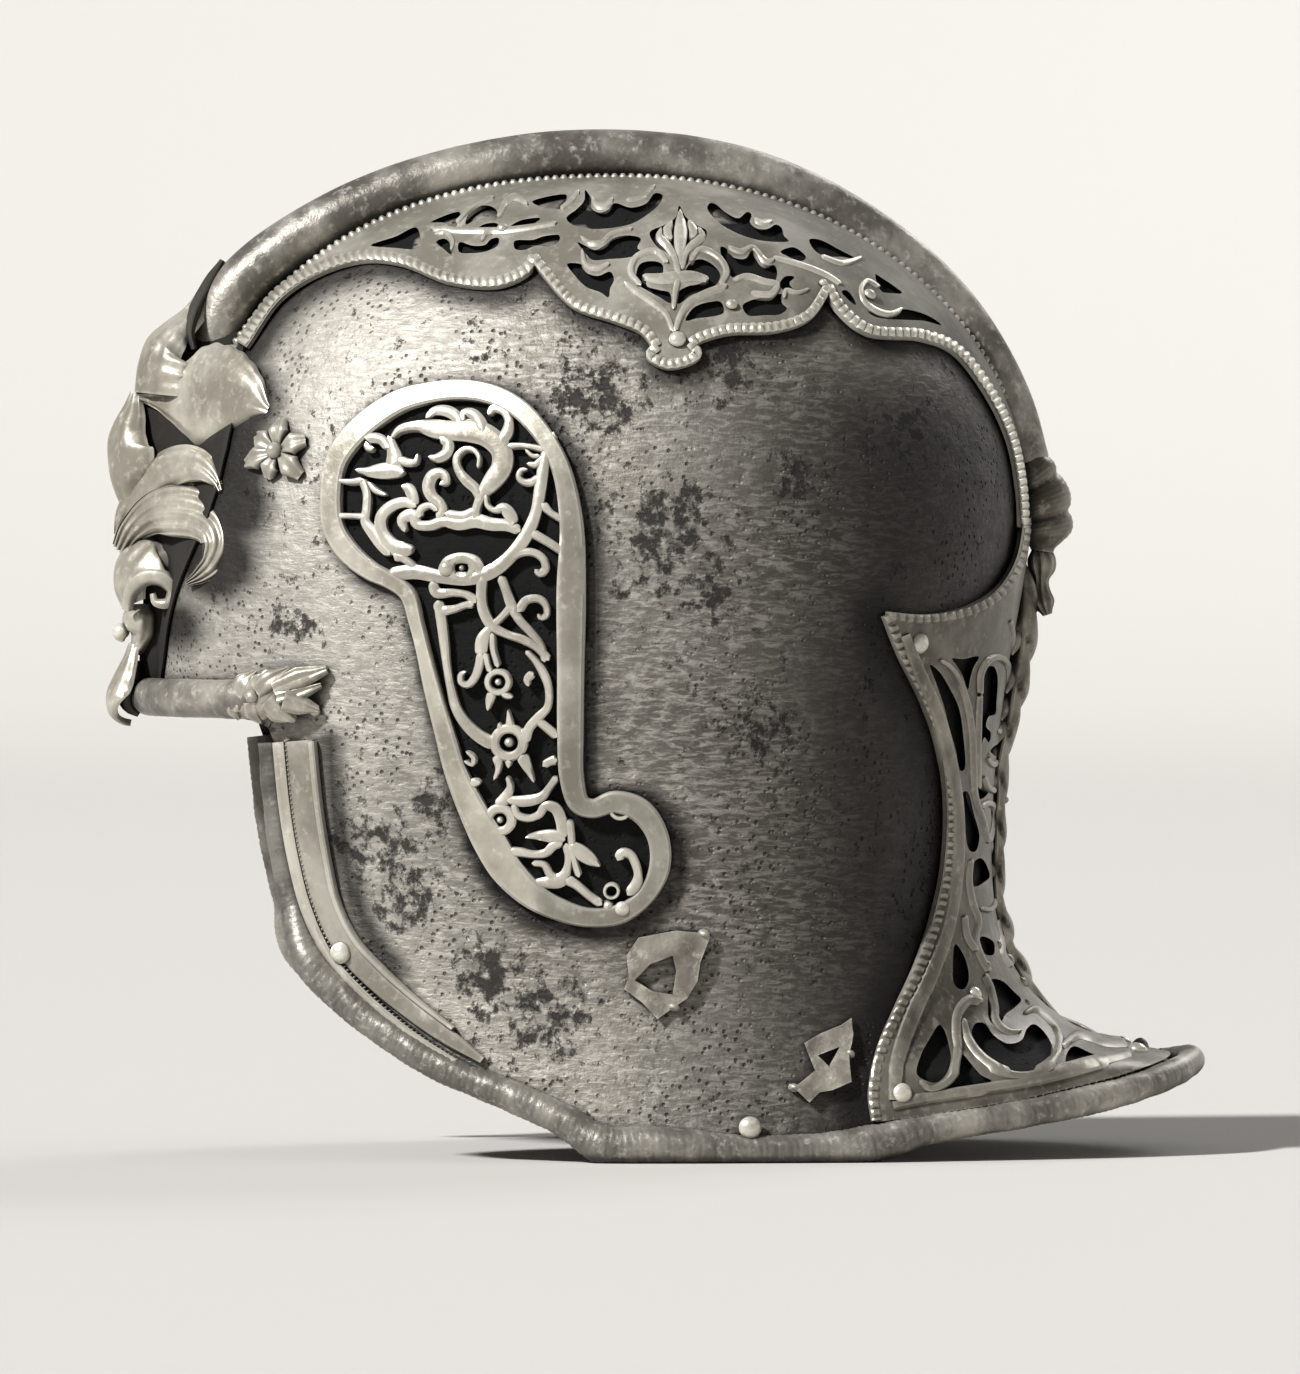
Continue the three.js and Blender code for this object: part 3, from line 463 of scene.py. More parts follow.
# ---- Materials ----------------------------------------------------------------------------------------
class Tree:
    """A short way to write a material's nodes."""

    def __init__(self, name):
        self.material = bpy.data.materials.new(name)
        self.material.use_nodes = True
        self.nodes, self.links = self.material.node_tree.nodes, self.material.node_tree.links
        self.nodes.clear()
        self.shader = self.add("ShaderNodeBsdfPrincipled")
        output = self.add("ShaderNodeOutputMaterial")
        self.links.new(self.shader.outputs[0], output.inputs["Surface"])
        self.position = self.add("ShaderNodeTexCoord").outputs["Object"]

    def add(self, kind, **settings):
        node = self.nodes.new(kind)
        for key, value in settings.items():
            setattr(node, key, value)
        return node

    def put(self, value, socket):
        if isinstance(value, bpy.types.NodeSocket):
            self.links.new(value, socket)
        elif isinstance(value, tuple) and len(value) == 3 and socket.type == "RGBA":
            socket.default_value = (*value, 1)
        else:
            socket.default_value = value

    def noise(self, scale, detail=4.0, roughness=0.55, distortion=0.0, stretch=None):
        node = self.add("ShaderNodeTexNoise")
        where = self.position
        if stretch:
            mapping = self.add("ShaderNodeMapping")
            self.links.new(where, mapping.inputs["Vector"])
            mapping.inputs["Scale"].default_value = stretch
            where = mapping.outputs[0]
        self.links.new(where, node.inputs["Vector"])
        for key, value in (("Scale", scale), ("Detail", detail), ("Roughness", roughness),
                           ("Distortion", distortion)):
            node.inputs[key].default_value = value
        return node.outputs["Fac"]

    def cells(self, scale, feature="F1", randomness=1.0):
        node = self.add("ShaderNodeTexVoronoi", feature=feature)
        self.links.new(self.position, node.inputs["Vector"])
        node.inputs["Scale"].default_value = scale
        node.inputs["Randomness"].default_value = randomness
        return node.outputs["Distance"]

    def ramp(self, value, low, high, start=0.0, end=1.0):
        node = self.add("ShaderNodeMapRange", clamp=True)
        node.interpolation_type = "SMOOTHSTEP"
        self.put(value, node.inputs["Value"])
        for key, number in (("From Min", low), ("From Max", high), ("To Min", start), ("To Max", end)):
            node.inputs[key].default_value = number
        return node.outputs[0]

    def math(self, operation, a, b=0.0):
        node = self.add("ShaderNodeMath", operation=operation)
        self.put(a, node.inputs[0])
        self.put(b, node.inputs[1])
        return node.outputs[0]

    def mix(self, share, a, b):
        node = self.add("ShaderNodeMix", data_type="RGBA")
        self.put(share, node.inputs["Factor"])
        self.put(a, node.inputs[6])
        self.put(b, node.inputs[7])
        return node.outputs[2]

    def bump(self, height, strength, distance, normal=None):
        node = self.add("ShaderNodeBump")
        self.put(height, node.inputs["Height"])
        node.inputs["Strength"].default_value = strength
        node.inputs["Distance"].default_value = distance
        if normal is not None:
            self.links.new(normal, node.inputs["Normal"])
        return node.outputs[0]

    def edges(self, low=0.51, high=0.58):
        return self.ramp(self.add("ShaderNodeNewGeometry").outputs["Pointiness"], low, high)

    def hollows(self, distance=0.004):
        """1 deep in corners, 0 in the open."""
        node = self.add("ShaderNodeAmbientOcclusion", samples=6)
        node.inputs["Distance"].default_value = distance
        return self.ramp(node.outputs["AO"], 0.85, 0.35)

    def attribute(self, name):
        return self.add("ShaderNodeAttribute", attribute_name=name).outputs["Fac"]

    def close(self, color, roughness, metallic, normal=None):
        self.put(color, self.shader.inputs["Base Color"])
        self.put(roughness, self.shader.inputs["Roughness"])
        self.put(metallic, self.shader.inputs["Metallic"])
        if normal is not None:
            self.links.new(normal, self.shader.inputs["Normal"])
        return self.material


IRON_METALLIC = 0.4
IRON_SPECULAR, MOUNT_SPECULAR = 0.25, 0.22


def skull_iron():
    """Pitted and brushed dark iron. Sizes are in metres, and y is toward the back of the helmet."""
    t = Tree("skull_iron")
    broad = t.noise(14, 5, 0.6, 0.4)
    fine = t.noise(150, 6, 0.68)
    grain = t.noise(800, 3, 0.6)
    brushed = t.noise(210, 5, 0.65, 0.6, (1, 1, 4))
    rot = t.attribute("rot")
    specks = t.math("MULTIPLY", t.ramp(t.cells(420), 0.3, 0.1), t.ramp(t.noise(38, 4), 0.46, 0.6))
    pits = t.ramp(t.math("ADD", t.noise(210, 6, 0.72), t.math("MULTIPLY", rot, 0.16)), 0.6, 0.72)
    pits = t.math("MAXIMUM", pits, t.math("MULTIPLY", specks, 0.8))
    # Blotches of dark and middle grey, then brushed streaks, bright flecks and a painted highlight toward
    # the brow.
    tone = t.mix(t.ramp(broad, 0.3, 0.7), (0.10, 0.09, 0.077), (0.23, 0.213, 0.185))
    tone = t.mix(t.ramp(brushed, 0.42, 0.66, 0, 0.8), tone, (0.42, 0.395, 0.355))
    tone = t.mix(t.ramp(fine, 0.56, 0.75, 0, 0.6), tone, (0.55, 0.52, 0.47))
    split = t.add("ShaderNodeSeparateXYZ")
    t.links.new(t.position, split.inputs[0])
    # Painted highlight: the skin is made lighter toward the face.
    front = t.ramp(split.outputs["Y"], -0.03, -0.1, 0, 0.38)
    tone = t.mix(front, tone, (0.62, 0.59, 0.53))
    # Pits, grime and painted shade in corners, painted shade on the back, painted shadow along the plates
    # and round the mounts, and the ground behind the plates.
    tone = t.mix(t.math("MULTIPLY", pits, 0.92), tone, (0.012, 0.010, 0.009))
    tone = t.mix(t.math("MULTIPLY", t.hollows(0.009), 0.85), tone, (0.012, 0.011, 0.010))
    # Painted shade: darker toward the back, fading out toward the crown.
    painted_back_shade = t.ramp(t.math("ADD", split.outputs["Y"], t.math("MULTIPLY", broad, 0.05)), 0.01, 0.085, 0, 0.92)
    painted_back_shade = t.math("MULTIPLY", painted_back_shade, t.ramp(split.outputs["Z"], 0.26, 0.2))
    tone = t.mix(painted_back_shade, tone, (0.014, 0.012, 0.011))
    # Painted shadow along the plates and behind the mounts.
    tone = t.mix(t.attribute("shade"), tone, (0.010, 0.009, 0.008))
    tone = t.mix(t.attribute("ground"), tone, (0.003, 0.003, 0.003))
    rough = t.ramp(t.math("ADD", fine, t.math("MULTIPLY", pits, 0.6)), 0.3, 1.1, 0.42, 0.85)
    rough = t.math("MAXIMUM", rough, t.math("MULTIPLY", t.attribute("ground"), 0.9))
    dull = t.math("MAXIMUM", pits, t.attribute("ground"))
    metal = t.math("SUBTRACT", IRON_METALLIC, t.math("MULTIPLY", dull, IRON_METALLIC))
    normal = t.bump(grain, 0.3, 0.0002)
    normal = t.bump(brushed, 0.55, 0.0006, normal)
    normal = t.bump(fine, 0.7, 0.0009, normal)
    normal = t.bump(t.math("MULTIPLY", pits, -1.0), 0.9, 0.0014, normal)
    normal = t.bump(broad, 0.4, 0.005, normal)
    t.shader.inputs["Specular IOR Level"].default_value = IRON_SPECULAR
    return t.close(tone, rough, metal, normal)


GRIME_AND_SHADE, TARNISH_AND_SHADE = (0.02, 0.018, 0.015), (0.007, 0.006, 0.005)


def worn_metal(name, dark, middle, bright, gloss=(0.28, 0.55), grime_and_shade=0.85, edge=0.5, metallic=0.95,
               bump=0.5):
    """Rubbed metal with grime and painted shade in its hollows and bright edges, blackened where the tarnish
    mark is 1 (tarnish on some parts, painted shade on others).
    """
    t = Tree(name)
    broad = t.noise(40, 5, 0.6)
    fine = t.noise(330, 5, 0.65)
    scratches = t.noise(260, 4, 0.6, 0, (1, 1, 7))
    tone = t.mix(t.ramp(broad, 0.38, 0.66), dark, middle)
    tone = t.mix(t.ramp(fine, 0.52, 0.72, 0, 0.45), tone, bright)
    tone = t.mix(t.math("MULTIPLY", t.edges(), edge), tone, bright)
    # Grime and painted shade in the hollows.
    hollow = t.hollows(0.0035)
    tone = t.mix(t.math("MULTIPLY", hollow, grime_and_shade), tone, GRIME_AND_SHADE)
    stain = t.ramp(t.noise(95, 6, 0.7), 0.6, 0.74, 0, 0.55)
    tone = t.mix(stain, tone, dark)
    tone = t.mix(t.attribute("tarnish_and_shade"), tone, TARNISH_AND_SHADE)
    rough = t.ramp(t.math("ADD", fine, t.math("MULTIPLY", hollow, 0.7)), 0.3, 1.2, *gloss)
    rough = t.math("MAXIMUM", rough, t.math("MULTIPLY", t.attribute("tarnish_and_shade"), 0.95))
    normal = t.bump(scratches, 0.12 * bump, 0.0002)
    normal = t.bump(fine, 0.45 * bump, 0.0005, normal)
    normal = t.bump(broad, 0.35 * bump, 0.002, normal)
    metal = t.math("SUBTRACT", metallic, t.math("MULTIPLY", hollow, 0.5))
    metal = t.math("MULTIPLY", metal, t.math("SUBTRACT", 1.0, t.attribute("tarnish_and_shade")))
    t.shader.inputs["Specular IOR Level"].default_value = MOUNT_SPECULAR
    return t.close(tone, rough, metal, normal)


IRON = skull_iron()
ROLLED = worn_metal("rolled_iron", (0.12, 0.11, 0.095), (0.40, 0.375, 0.33), (0.66, 0.63, 0.57),
                    gloss=(0.36, 0.68), metallic=0.5, bump=1.3, edge=0.35)
MOUNT = worn_metal("mount_metal", (0.31, 0.285, 0.235), (0.56, 0.53, 0.455), (0.8, 0.77, 0.69),
                   gloss=(0.32, 0.6), metallic=0.55, grime_and_shade=0.95)
NAPE = worn_metal("nape_metal", (0.11, 0.098, 0.08), (0.27, 0.25, 0.21), (0.5, 0.47, 0.41),
                  gloss=(0.36, 0.66), metallic=0.6, grime_and_shade=0.95)
RIVET = worn_metal("rivet_metal", (0.5, 0.47, 0.4), (0.8, 0.77, 0.68), (0.92, 0.9, 0.83), metallic=0.5,
                   gloss=(0.22, 0.45))
TORN = worn_metal("torn_metal", (0.12, 0.105, 0.088), (0.36, 0.335, 0.29), (0.6, 0.57, 0.5),
                  gloss=(0.45, 0.75), metallic=0.5, bump=1.8)


# ---- Outlines of the plates, side view ----------------------------------------------------------------
CROWN_BORDER = [
    [(-113, 229), (-103, 243), (-91, 250.5), (-79, 253.6), (-69, 252.4), (-56, 247), (-43, 246),
     (-35, 249.6), (-32.8, 253)],
    [(-32.8, 253), (-30, 249), (-22, 240), (-11, 236), (-3, 232.4), (0.5, 227.8)],
    [(0.5, 227.8), (-1.6, 225.6), (3.5, 223), (11.4, 225.8), (9.6, 228.6)],
    [(9.6, 228.6), (12, 230.2), (20, 232.6), (34, 233.4), (43, 236.6), (49.2, 244.6)],
    [(49.2, 244.6), (52.4, 239), (60, 232.8), (76, 231.4), (86, 228), (95, 218), (103, 203), (106, 188),
     (106.6, 178)],
]
PLAQUE_OUTER = [
    (-20.6, 138), (-19.1, 162.3), (-20.9, 182.3), (-25.1, 198), (-34.3, 210.9), (-47.1, 217.7),
    (-60, 218.3), (-72.9, 215.4), (-82.9, 208.6), (-89.4, 198.9), (-92, 187.4), (-90.9, 176.6),
    (-85.7, 167.4), (-78.6, 162.4), (-71.5, 160), (-67.7, 145), (-62.9, 125), (-57.7, 105), (-52.6, 89.4),
    (-45.7, 76.6), (-35.7, 68.9), (-22.9, 65.7), (-10, 67.4), (0, 74.3), (4.3, 85), (2.9, 95),
    (-3.4, 102.3), (-12, 104.3), (-18.6, 102.6), (-21.6, 101), (-21.4, 118),
]
NAPE_LEFT = [(64.3, 153.4), (69, 142.3), (76, 129), (81.4, 115), (83.7, 99), (82.9, 82), (80, 69), (75, 55),
             (68.5, 42), (63.4, 31), (60.8, 19.4), (61.6, 11.4)]
NAPE_TOP = [(64.3, 153.4), (76, 152.6), (89, 155), (99, 160.6), (105, 169), (107.4, 179.4)]
NAPE_FOOT = [(61.6, 13.6), (75, 15), (103, 19.2), (131.4, 25), (146, 28)]


def inside(points, outline):
    """Which side-view points lie within a closed outline."""
    y, z = points[:, 0], points[:, 1]
    result = np.zeros(len(points), bool)
    for (y1, z1), (y2, z2) in zip(outline, np.roll(outline, -1, axis=0)):
        crossing = (z1 > z) != (z2 > z)
        meets = y1 + (z - z1) / (z2 - z1 + 1e-12) * (y2 - y1)
        result ^= crossing & (y < meets)
    return result


# ---- Skull --------------------------------------------------------------------------------------------
# Corroded patches on the left side: y, z, radius and depth of the worst wear.
ROT_LEFT = [(3, 178, 17, 0.7), (14, 160, 12, 0.9), (-4, 165, 9, 0.5), (-76, 90, 14, 0.5),
            (-70, 74, 12, 0.6), (20, 224, 12, 0.5), (-16, 216, 14, 0.4), (-62, 100, 10, 0.4),
            (-30, 40, 14, 0.5), (30, 120, 12, 0.3), (70, 205, 14, 0.3), (-100, 150, 8, 0.3),
            (-46, 52, 12, 0.5), (40, 190, 9, 0.4)]
ROT_RIGHT = [(-20, 190, 15, 0.7), (34, 168, 12, 0.6), (-66, 110, 15, 0.5), (10, 90, 12, 0.4),
             (50, 215, 12, 0.4), (-50, 60, 13, 0.5), (6, 232, 10, 0.3)]


def rot_at(points):
    """How corroded the skin is at each point, 0 to 1, and how deep."""
    amount, depth = np.zeros(len(points)), np.zeros(len(points))
    for side, spots in ((1, ROT_LEFT), (-1, ROT_RIGHT)):
        for y, z, radius, deep in spots:
            far = np.hypot(points[:, 1] - y, points[:, 2] - z) / radius
            close = np.clip(1.25 - far, 0, 1) * (points[:, 0] * side > 15)
            amount = np.maximum(amount, close)
            depth = np.maximum(depth, close * deep)
    return amount, depth


def skull_points_and_faces():
    """The bowl before its lower edge is cut: a worn skin, a smooth inside and a point over each."""
    around, dome_rows = 264, 70
    angle = (np.arange(dome_rows) + 0.5) / dome_rows * np.pi / 2
    heights = np.concatenate([FRONT_DOME_Z + (CROWN_Z - FRONT_DOME_Z) * np.cos(angle),
                              np.linspace(138.5, 48, 42), np.linspace(46.5, 20, 26),
                              np.linspace(18, -12, 12)])
    turn, z = np.meshgrid(np.arange(around) / around, heights)
    outer = by_turn(turn, z)
    normal = skin_normal(outer)
    flat = outer.reshape(-1, 3)
    worn = rot_at(flat)[1]
    bumps = np.array([noise.noise(Vector(p) / 31) * 0.35 + noise.noise(Vector(p) / 9) * 0.12 for p in flat])
    craters = np.array([max(0.0, noise.noise(Vector(p) / 4.2)) for p in flat])
    sunk = (np.minimum(bumps - 0.3, 0) - worn * (0.35 + craters)).reshape(z.shape)
    inner = outer - normal * WALL
    outer = outer + normal * sunk[..., None]
    crown = np.array([0.0, CROWN_Y, CROWN_Z])
    points = np.vstack([outer.reshape(-1, 3), inner.reshape(-1, 3), [crown], [crown - (0, 0, WALL)]])
    n, m = z.shape
    faces = []
    inner_start = n * m
    last = (n - 1) * m
    for i in range(n - 1):
        a, b = i * m, (i + 1) * m
        for j in range(m):
            k = (j + 1) % m
            faces.append((a + j, b + j, b + k, a + k))
            faces.append(tuple(inner_start + corner for corner in (a + j, a + k, b + k, b + j)))
    for j in range(m):
        k = (j + 1) % m
        faces.append((last + j, inner_start + last + j, inner_start + last + k, last + k))
        faces.append((2 * n * m, j, k))
        faces.append((2 * n * m + 1, inner_start + k, inner_start + j))
    return points, faces


def prism(name, outlines, near, far):
    """A solid along X, from near to far, of closed side-view outlines."""
    points, faces = [], []
    for outline in outlines:
        n, start = len(outline), len(points)
        turned = sum(y1 * z2 - y2 * z1 for (y1, z1), (y2, z2) in zip(outline, outline[1:] + outline[:1]))
        outline = outline if turned > 0 else outline[::-1]
        points += [(x, y, z) for x in (near, far) for y, z in outline]
        faces += [tuple(start + i for i in range(n - 1, -1, -1)), tuple(start + n + i for i in range(n))]
        faces += [tuple(start + i for i in (j, (j + 1) % n, (j + 1) % n + n, j + n)) for j in range(n)]
    mesh = bpy.data.meshes.new(name)
    mesh.from_pydata([tuple(p) for p in to_frame(points)], [], faces)
    return new_object(name, mesh)


# Round patches of painted shadow behind the brow mounts: y, z and radius.
MOUNT_SHADOWS = [(-124, 224, 19), (-116, 214, 16), (-116, 199, 15), (-119, 184, 16), (-122, 168, 15),
              (-133, 150, 11), (-101, 131, 8), (-104, 199, 9)]
SHADE_BATCH = 4000  # points measured at a time, to save memory


def contact_shade(flat, crown_line):
    """Painted shadow on the skull along the plates and behind the brow mounts, 0 to 1."""
    shade = np.zeros(len(flat))
    for y, z, radius in MOUNT_SHADOWS:
        shade = np.maximum(shade, np.clip((radius - np.hypot(flat[:, 0] - y, flat[:, 1] - z)) / 7, 0, 0.95))
    lines = [(crown_line + (1.5, -2.5), 5.5), (curve(PLAQUE_OUTER, 2, True)[0] + (2.2, -1.6), 4.2),
             (curve([(-91, 118), (-89, 100), (-87, 86), (-83.6, 74), (-79, 63), (-72, 54)], 2)[0], 4.5),
             (curve(NAPE_LEFT, 2)[0] - (3.5, 0), 9)]
    for line, reach in lines:
        for start in range(0, len(flat), SHADE_BATCH):
            part = slice(start, start + SHADE_BATCH)
            gap = np.linalg.norm(flat[part, None] - line[None], axis=-1).min(axis=1)
            shade[part] = np.maximum(shade[part], np.clip(1.2 - gap / reach, 0, 0.9))
    return shade


def build_skull():
    outline = [(-210, 330), (-210, BROW_Z), (-119, BROW_Z), (-112, BROW_Z - 1.2), (-107.6, 121.5)]
    outline += [tuple(p) for p in curve([(y, z) for y, z, _ in EDGE], 3)[0]] + [(200, 32), (200, 330)]
    bowl = new_mesh("skull_look", *skull_points_and_faces())
    bowl = carved(bowl, ("INTERSECT", prism("cutter", [outline], -160, 160)))
    bowl.name = "skull_look"
    points = drawn_points(bowl)
    flat = points[:, 1:]
    outside = fullness(points) > 0.99
    crown_line = np.vstack([curve(run, 2)[0] for run in CROWN_BORDER] + [[(150, 178), (150, 330),
                                                                          (-120, 330)]])
    nape = np.vstack([curve(NAPE_LEFT, 2)[0][::-1], curve(NAPE_TOP, 2)[0][1:],
                      [(108, 190), (220, 190), (220, 0), (120, 12)]])
    ground = inside(flat, curve(PLAQUE_OUTER, 2, True)[0]) & (np.abs(points[:, 0]) > 30)
    ground |= inside(flat, crown_line) & (points[:, 1] > -75) & (points[:, 1] < 78) & (points[:, 2] > 220)
    ground |= inside(flat, nape)
    paint(bowl, "ground", ground & outside)
    paint(bowl, "shade", contact_shade(flat, crown_line) * outside)
    paint(bowl, "rot", rot_at(points)[0] * outside)
    finish_piece("skull_look", bowl, IRON, ["skull"], 50)


build_skull()


# ---- Rolled rim ---------------------------------------------------------------------------------------
# How far the roll stands in front of the cheek's edge, at each point of EDGE.
CHEEK_FORWARD = [4.2, 4.2, 4.6, 5, 4.6, 3, 1.4, 0.5] + [0] * 12


def rim_line():
    """The roll's middle line: behind the cheek bands and along the skull's edge, on both sides."""
    half = []
    for i, (y, z, radius) in enumerate(EDGE[:-1]):
        inward = WALL + GAP + radius if i < CHEEK_POINTS - 1 else 0.0
        half.append(on_side(y, z, -inward) - (0, CHEEK_FORWARD[i], 0))
    half.append(np.array([0.0, EDGE[-1][0], EDGE[-1][1]]))
    return np.array(half + [p * (-1, 1, 1) for p in half[-2::-1]])


def lumpy(amount, length, slant, pitch, depth):
    """Swelling of a hammered roll: slow lumps and slanting binding grooves."""

    def ripple(share, angle, line):
        s = share * length
        slow = np.array([[noise.noise((float(q) / 23, 3.1, 0.4)) + 0.6 * noise.noise((float(q) / 7, 0.2, 9))]
                         for q in s[:, 0]])
        grooves = np.abs(np.sin((s + slant * np.sin(angle)) / pitch * np.pi)) ** 0.6
        return 1 + amount * slow - depth * (1 - grooves)

    return ripple


rim_radii = [r + 0.25 * f for (_, _, r), f in zip(EDGE, CHEEK_FORWARD)]
rim_radii = rim_radii + rim_radii[-2::-1]
rim = Shape()
# Painted shade: the roll behind the cheek bands is darkened, as in the gap there.
rim.mark = lambda p: 0.55 * np.clip((p[:, 2] - 50) / 30, 0, 1) * (p[:, 1] < -60)
line_points = rim_line()
control = np.concatenate([[0], np.cumsum(np.linalg.norm(np.diff(line_points, axis=0), axis=1))])
even_radii = np.interp(np.linspace(0, control[-1], 240), control, rim_radii)
rim.sweep(line_points, even_radii * 0.97, even_radii * 0.97, side=(0.3, 0.5, 0.8), sides=18, spacing=0.85,
          ripple=lumpy(amount=0.12, length=control[-1], slant=1.5, pitch=2.1, depth=0.075))
rim.points = [np.column_stack([p[:, 0], p[:, 1], np.maximum(p[:, 2], 0.0)]) for p in rim.points]
make("rim_roll_look", rim, ROLLED, ["rim_roll"], 60)

# ---- Comb ---------------------------------------------------------------------------------------------
# Feet of the comb on the skull, y and z, and how far its top stands above them.
COMB = [(-121.5, 222, 11), (-110, 241, 14.5), (-83, 260, 15), (-45, 273, 15), (-6, 276.6, 15),
        (32, 272, 13.5), (63, 258.5, 11.5), (88, 238, 10), (103, 214, 9.2), (108.6, 196, 9)]
COMB_HALF = [7.5, 8.6, 9, 8.8, 8.4, 7.6, 6.8, 6, 5.6, 5.4]
COMB_HIGH = 8.0


def ridge_normal(points):
    """The skin's direction over the middle line, without any lean to a side."""
    normal = skin_normal(points)
    normal[:, 0] = 0
    return unit(normal)


comb_feet = np.array(middle_line((y, z) for y, z, _ in COMB), float)
comb_axis = comb_feet + ridge_normal(comb_feet) * np.array([[tall - COMB_HIGH] for _, _, tall in COMB])


def hand_made(share, angle, line):
    slow = np.array([[noise.noise(Vector(p) / 26) * 0.6 + noise.noise(Vector(p) / 8) * 0.25] for p in line])
    return 1 + 0.03 * slow - 0.012


comb = Shape()
comb.sweep(comb_axis, COMB_HALF, [COMB_HIGH] * len(COMB), sides=36, spacing=1.6, ripple=hand_made)
# The tube's underside is laid on the skull.
tube = comb.points[0]
under = fullness(tube) < 1.004
out = skin_normal(tube[under])
landed = dropped(tube[under] + out * 20, -out)
tube[under] = landed + skin_normal(landed) * 0.35


def comb_rail(offset_x, half, height, spacing, notch):
    """A notched fillet on both sides of the comb's foot."""
    line = curve([(y, z) for y, z, _ in COMB[:-1]], spacing)[0]
    feet = np.column_stack([np.zeros(len(line)), line])
    up = ridge_normal(feet)
    step = (np.arange(len(line)) % 3 == 0) * notch
    for side in (1, -1):
        rings = []
        for u, rise in ((-1, 0.0), (-1, 0.7), (-0.5, 1.0), (0.5, 1.0), (1, 0.55), (1, 0.0)):
            foot = dropped(feet + up * 25 + np.array([side * (offset_x + u * half), 0, 0]), -up)
            tall = GAP + rise * height - (step if rise > 0.2 else 0)
            rings.append(foot + skin_normal(foot) * np.broadcast_to(tall, len(line))[:, None])
        comb.strand(np.stack(rings, axis=1))


comb_rail(offset_x=10.2, half=1.7, height=2.2, spacing=0.8, notch=0.9)
make("comb_look", comb, ROLLED, ["comb"], 45)

# ---- Brow roll ----------------------------------------------------------------------------------------
BROW_ROLL_Z = 129.6
BROW_ROLL_OUT = 3.2
brow_left = [on_side(y, BROW_ROLL_Z, BROW_ROLL_OUT) for y in (-99.6, -108, -118, -127.5, -134)]
brow_middle = np.array([0.0, SKULL_FRONT - BROW_ROLL_OUT, BROW_ROLL_Z])
brow_radii = [3.4] + [5.4] * 9 + [3.4]
brow_points = np.array(brow_left + [brow_middle] + [p * (-1, 1, 1) for p in brow_left[::-1]])
brow = Shape()
brow.sweep(brow_points, brow_radii, brow_radii, side=(0, 0, 1), sides=26, spacing=1.1,
           ripple=lumpy(amount=0.03, length=190, slant=0.4, pitch=6.0, depth=0.015))
make("brow_roll_look", brow, ROLLED, ["brow_roll"], 60)

# ---- Side plaques -------------------------------------------------------------------------------------
TOP = GAP + PLATE
PLAQUE_FRAME = [
    (-24.1, 138, 3.7), (-24, 160, 4.0), (-24, 180, 3.2), (-27.6, 196.5, 2.6), (-36.2, 209, 2.7),
    (-44, 214, 2.7), (-53, 215.9, 2.7), (-63, 215, 2.8), (-71.5, 212.4, 3.0), (-82.4, 204.4, 3.1),
    (-88, 196.5, 2.8), (-89.6, 188, 2.7), (-89, 178, 2.8), (-85, 171, 2.9), (-79, 165.8, 2.6),
    (-73.5, 163, 2.3),
    (-68.9, 159.4, 2.2), (-66.4, 151, 1.9), (-64.4, 143, 1.9), (-62, 133, 2.3), (-59, 122, 2.6),
    (-55.6, 110, 3.0), (-51.3, 100, 3.7), (-46, 90, 4.5), (-41.4, 82.4, 4.4), (-34.5, 75.4, 3.8),
    (-27, 71.2, 3.1), (-19.2, 69, 2.7), (-10, 70, 2.8), (-3, 75, 2.5), (0.8, 83, 2.9), (0.2, 92, 3.0),
    (-4.6, 99, 3.3), (-12, 101.4, 3.0), (-17.6, 99.6, 2.6), (-21.4, 101, 2.9), (-23.6, 108, 3.3),
    (-24.1, 122, 3.6),
]
PLAQUE_STRAPS = [
    [(-28.5, 204, 1.2), (-31, 197, 1.5), (-32.4, 189, 1.6), (-33.7, 182, 1.5), (-36.6, 175.3, 1.8),
     (-41, 169.6, 1.8), (-45.5, 165.9, 2.0), (-52, 163.6, 1.8), (-60, 164.2, 1.8), (-67, 165.5, 2.0),
     (-74, 164.5, 2.0)],
    [(-32, 184.5, 1.3), (-29.5, 181.8, 1.0), (-26, 180, 1.2)],
    [(-35, 176.5, 1.3), (-31, 174.2, 1.2), (-26, 171, 1.2)],
    [(-41, 200.3, 1.0), (-37, 200.4, 0.8), (-31, 199.3, 1.1)],
    [(-88, 181, 0.9), (-84, 181, 0.8), (-80.3, 180.8, 1.0)],
    [(-88, 190.8, 0.6), (-84, 190.4, 0.9), (-80.6, 191, 1.0)],
]
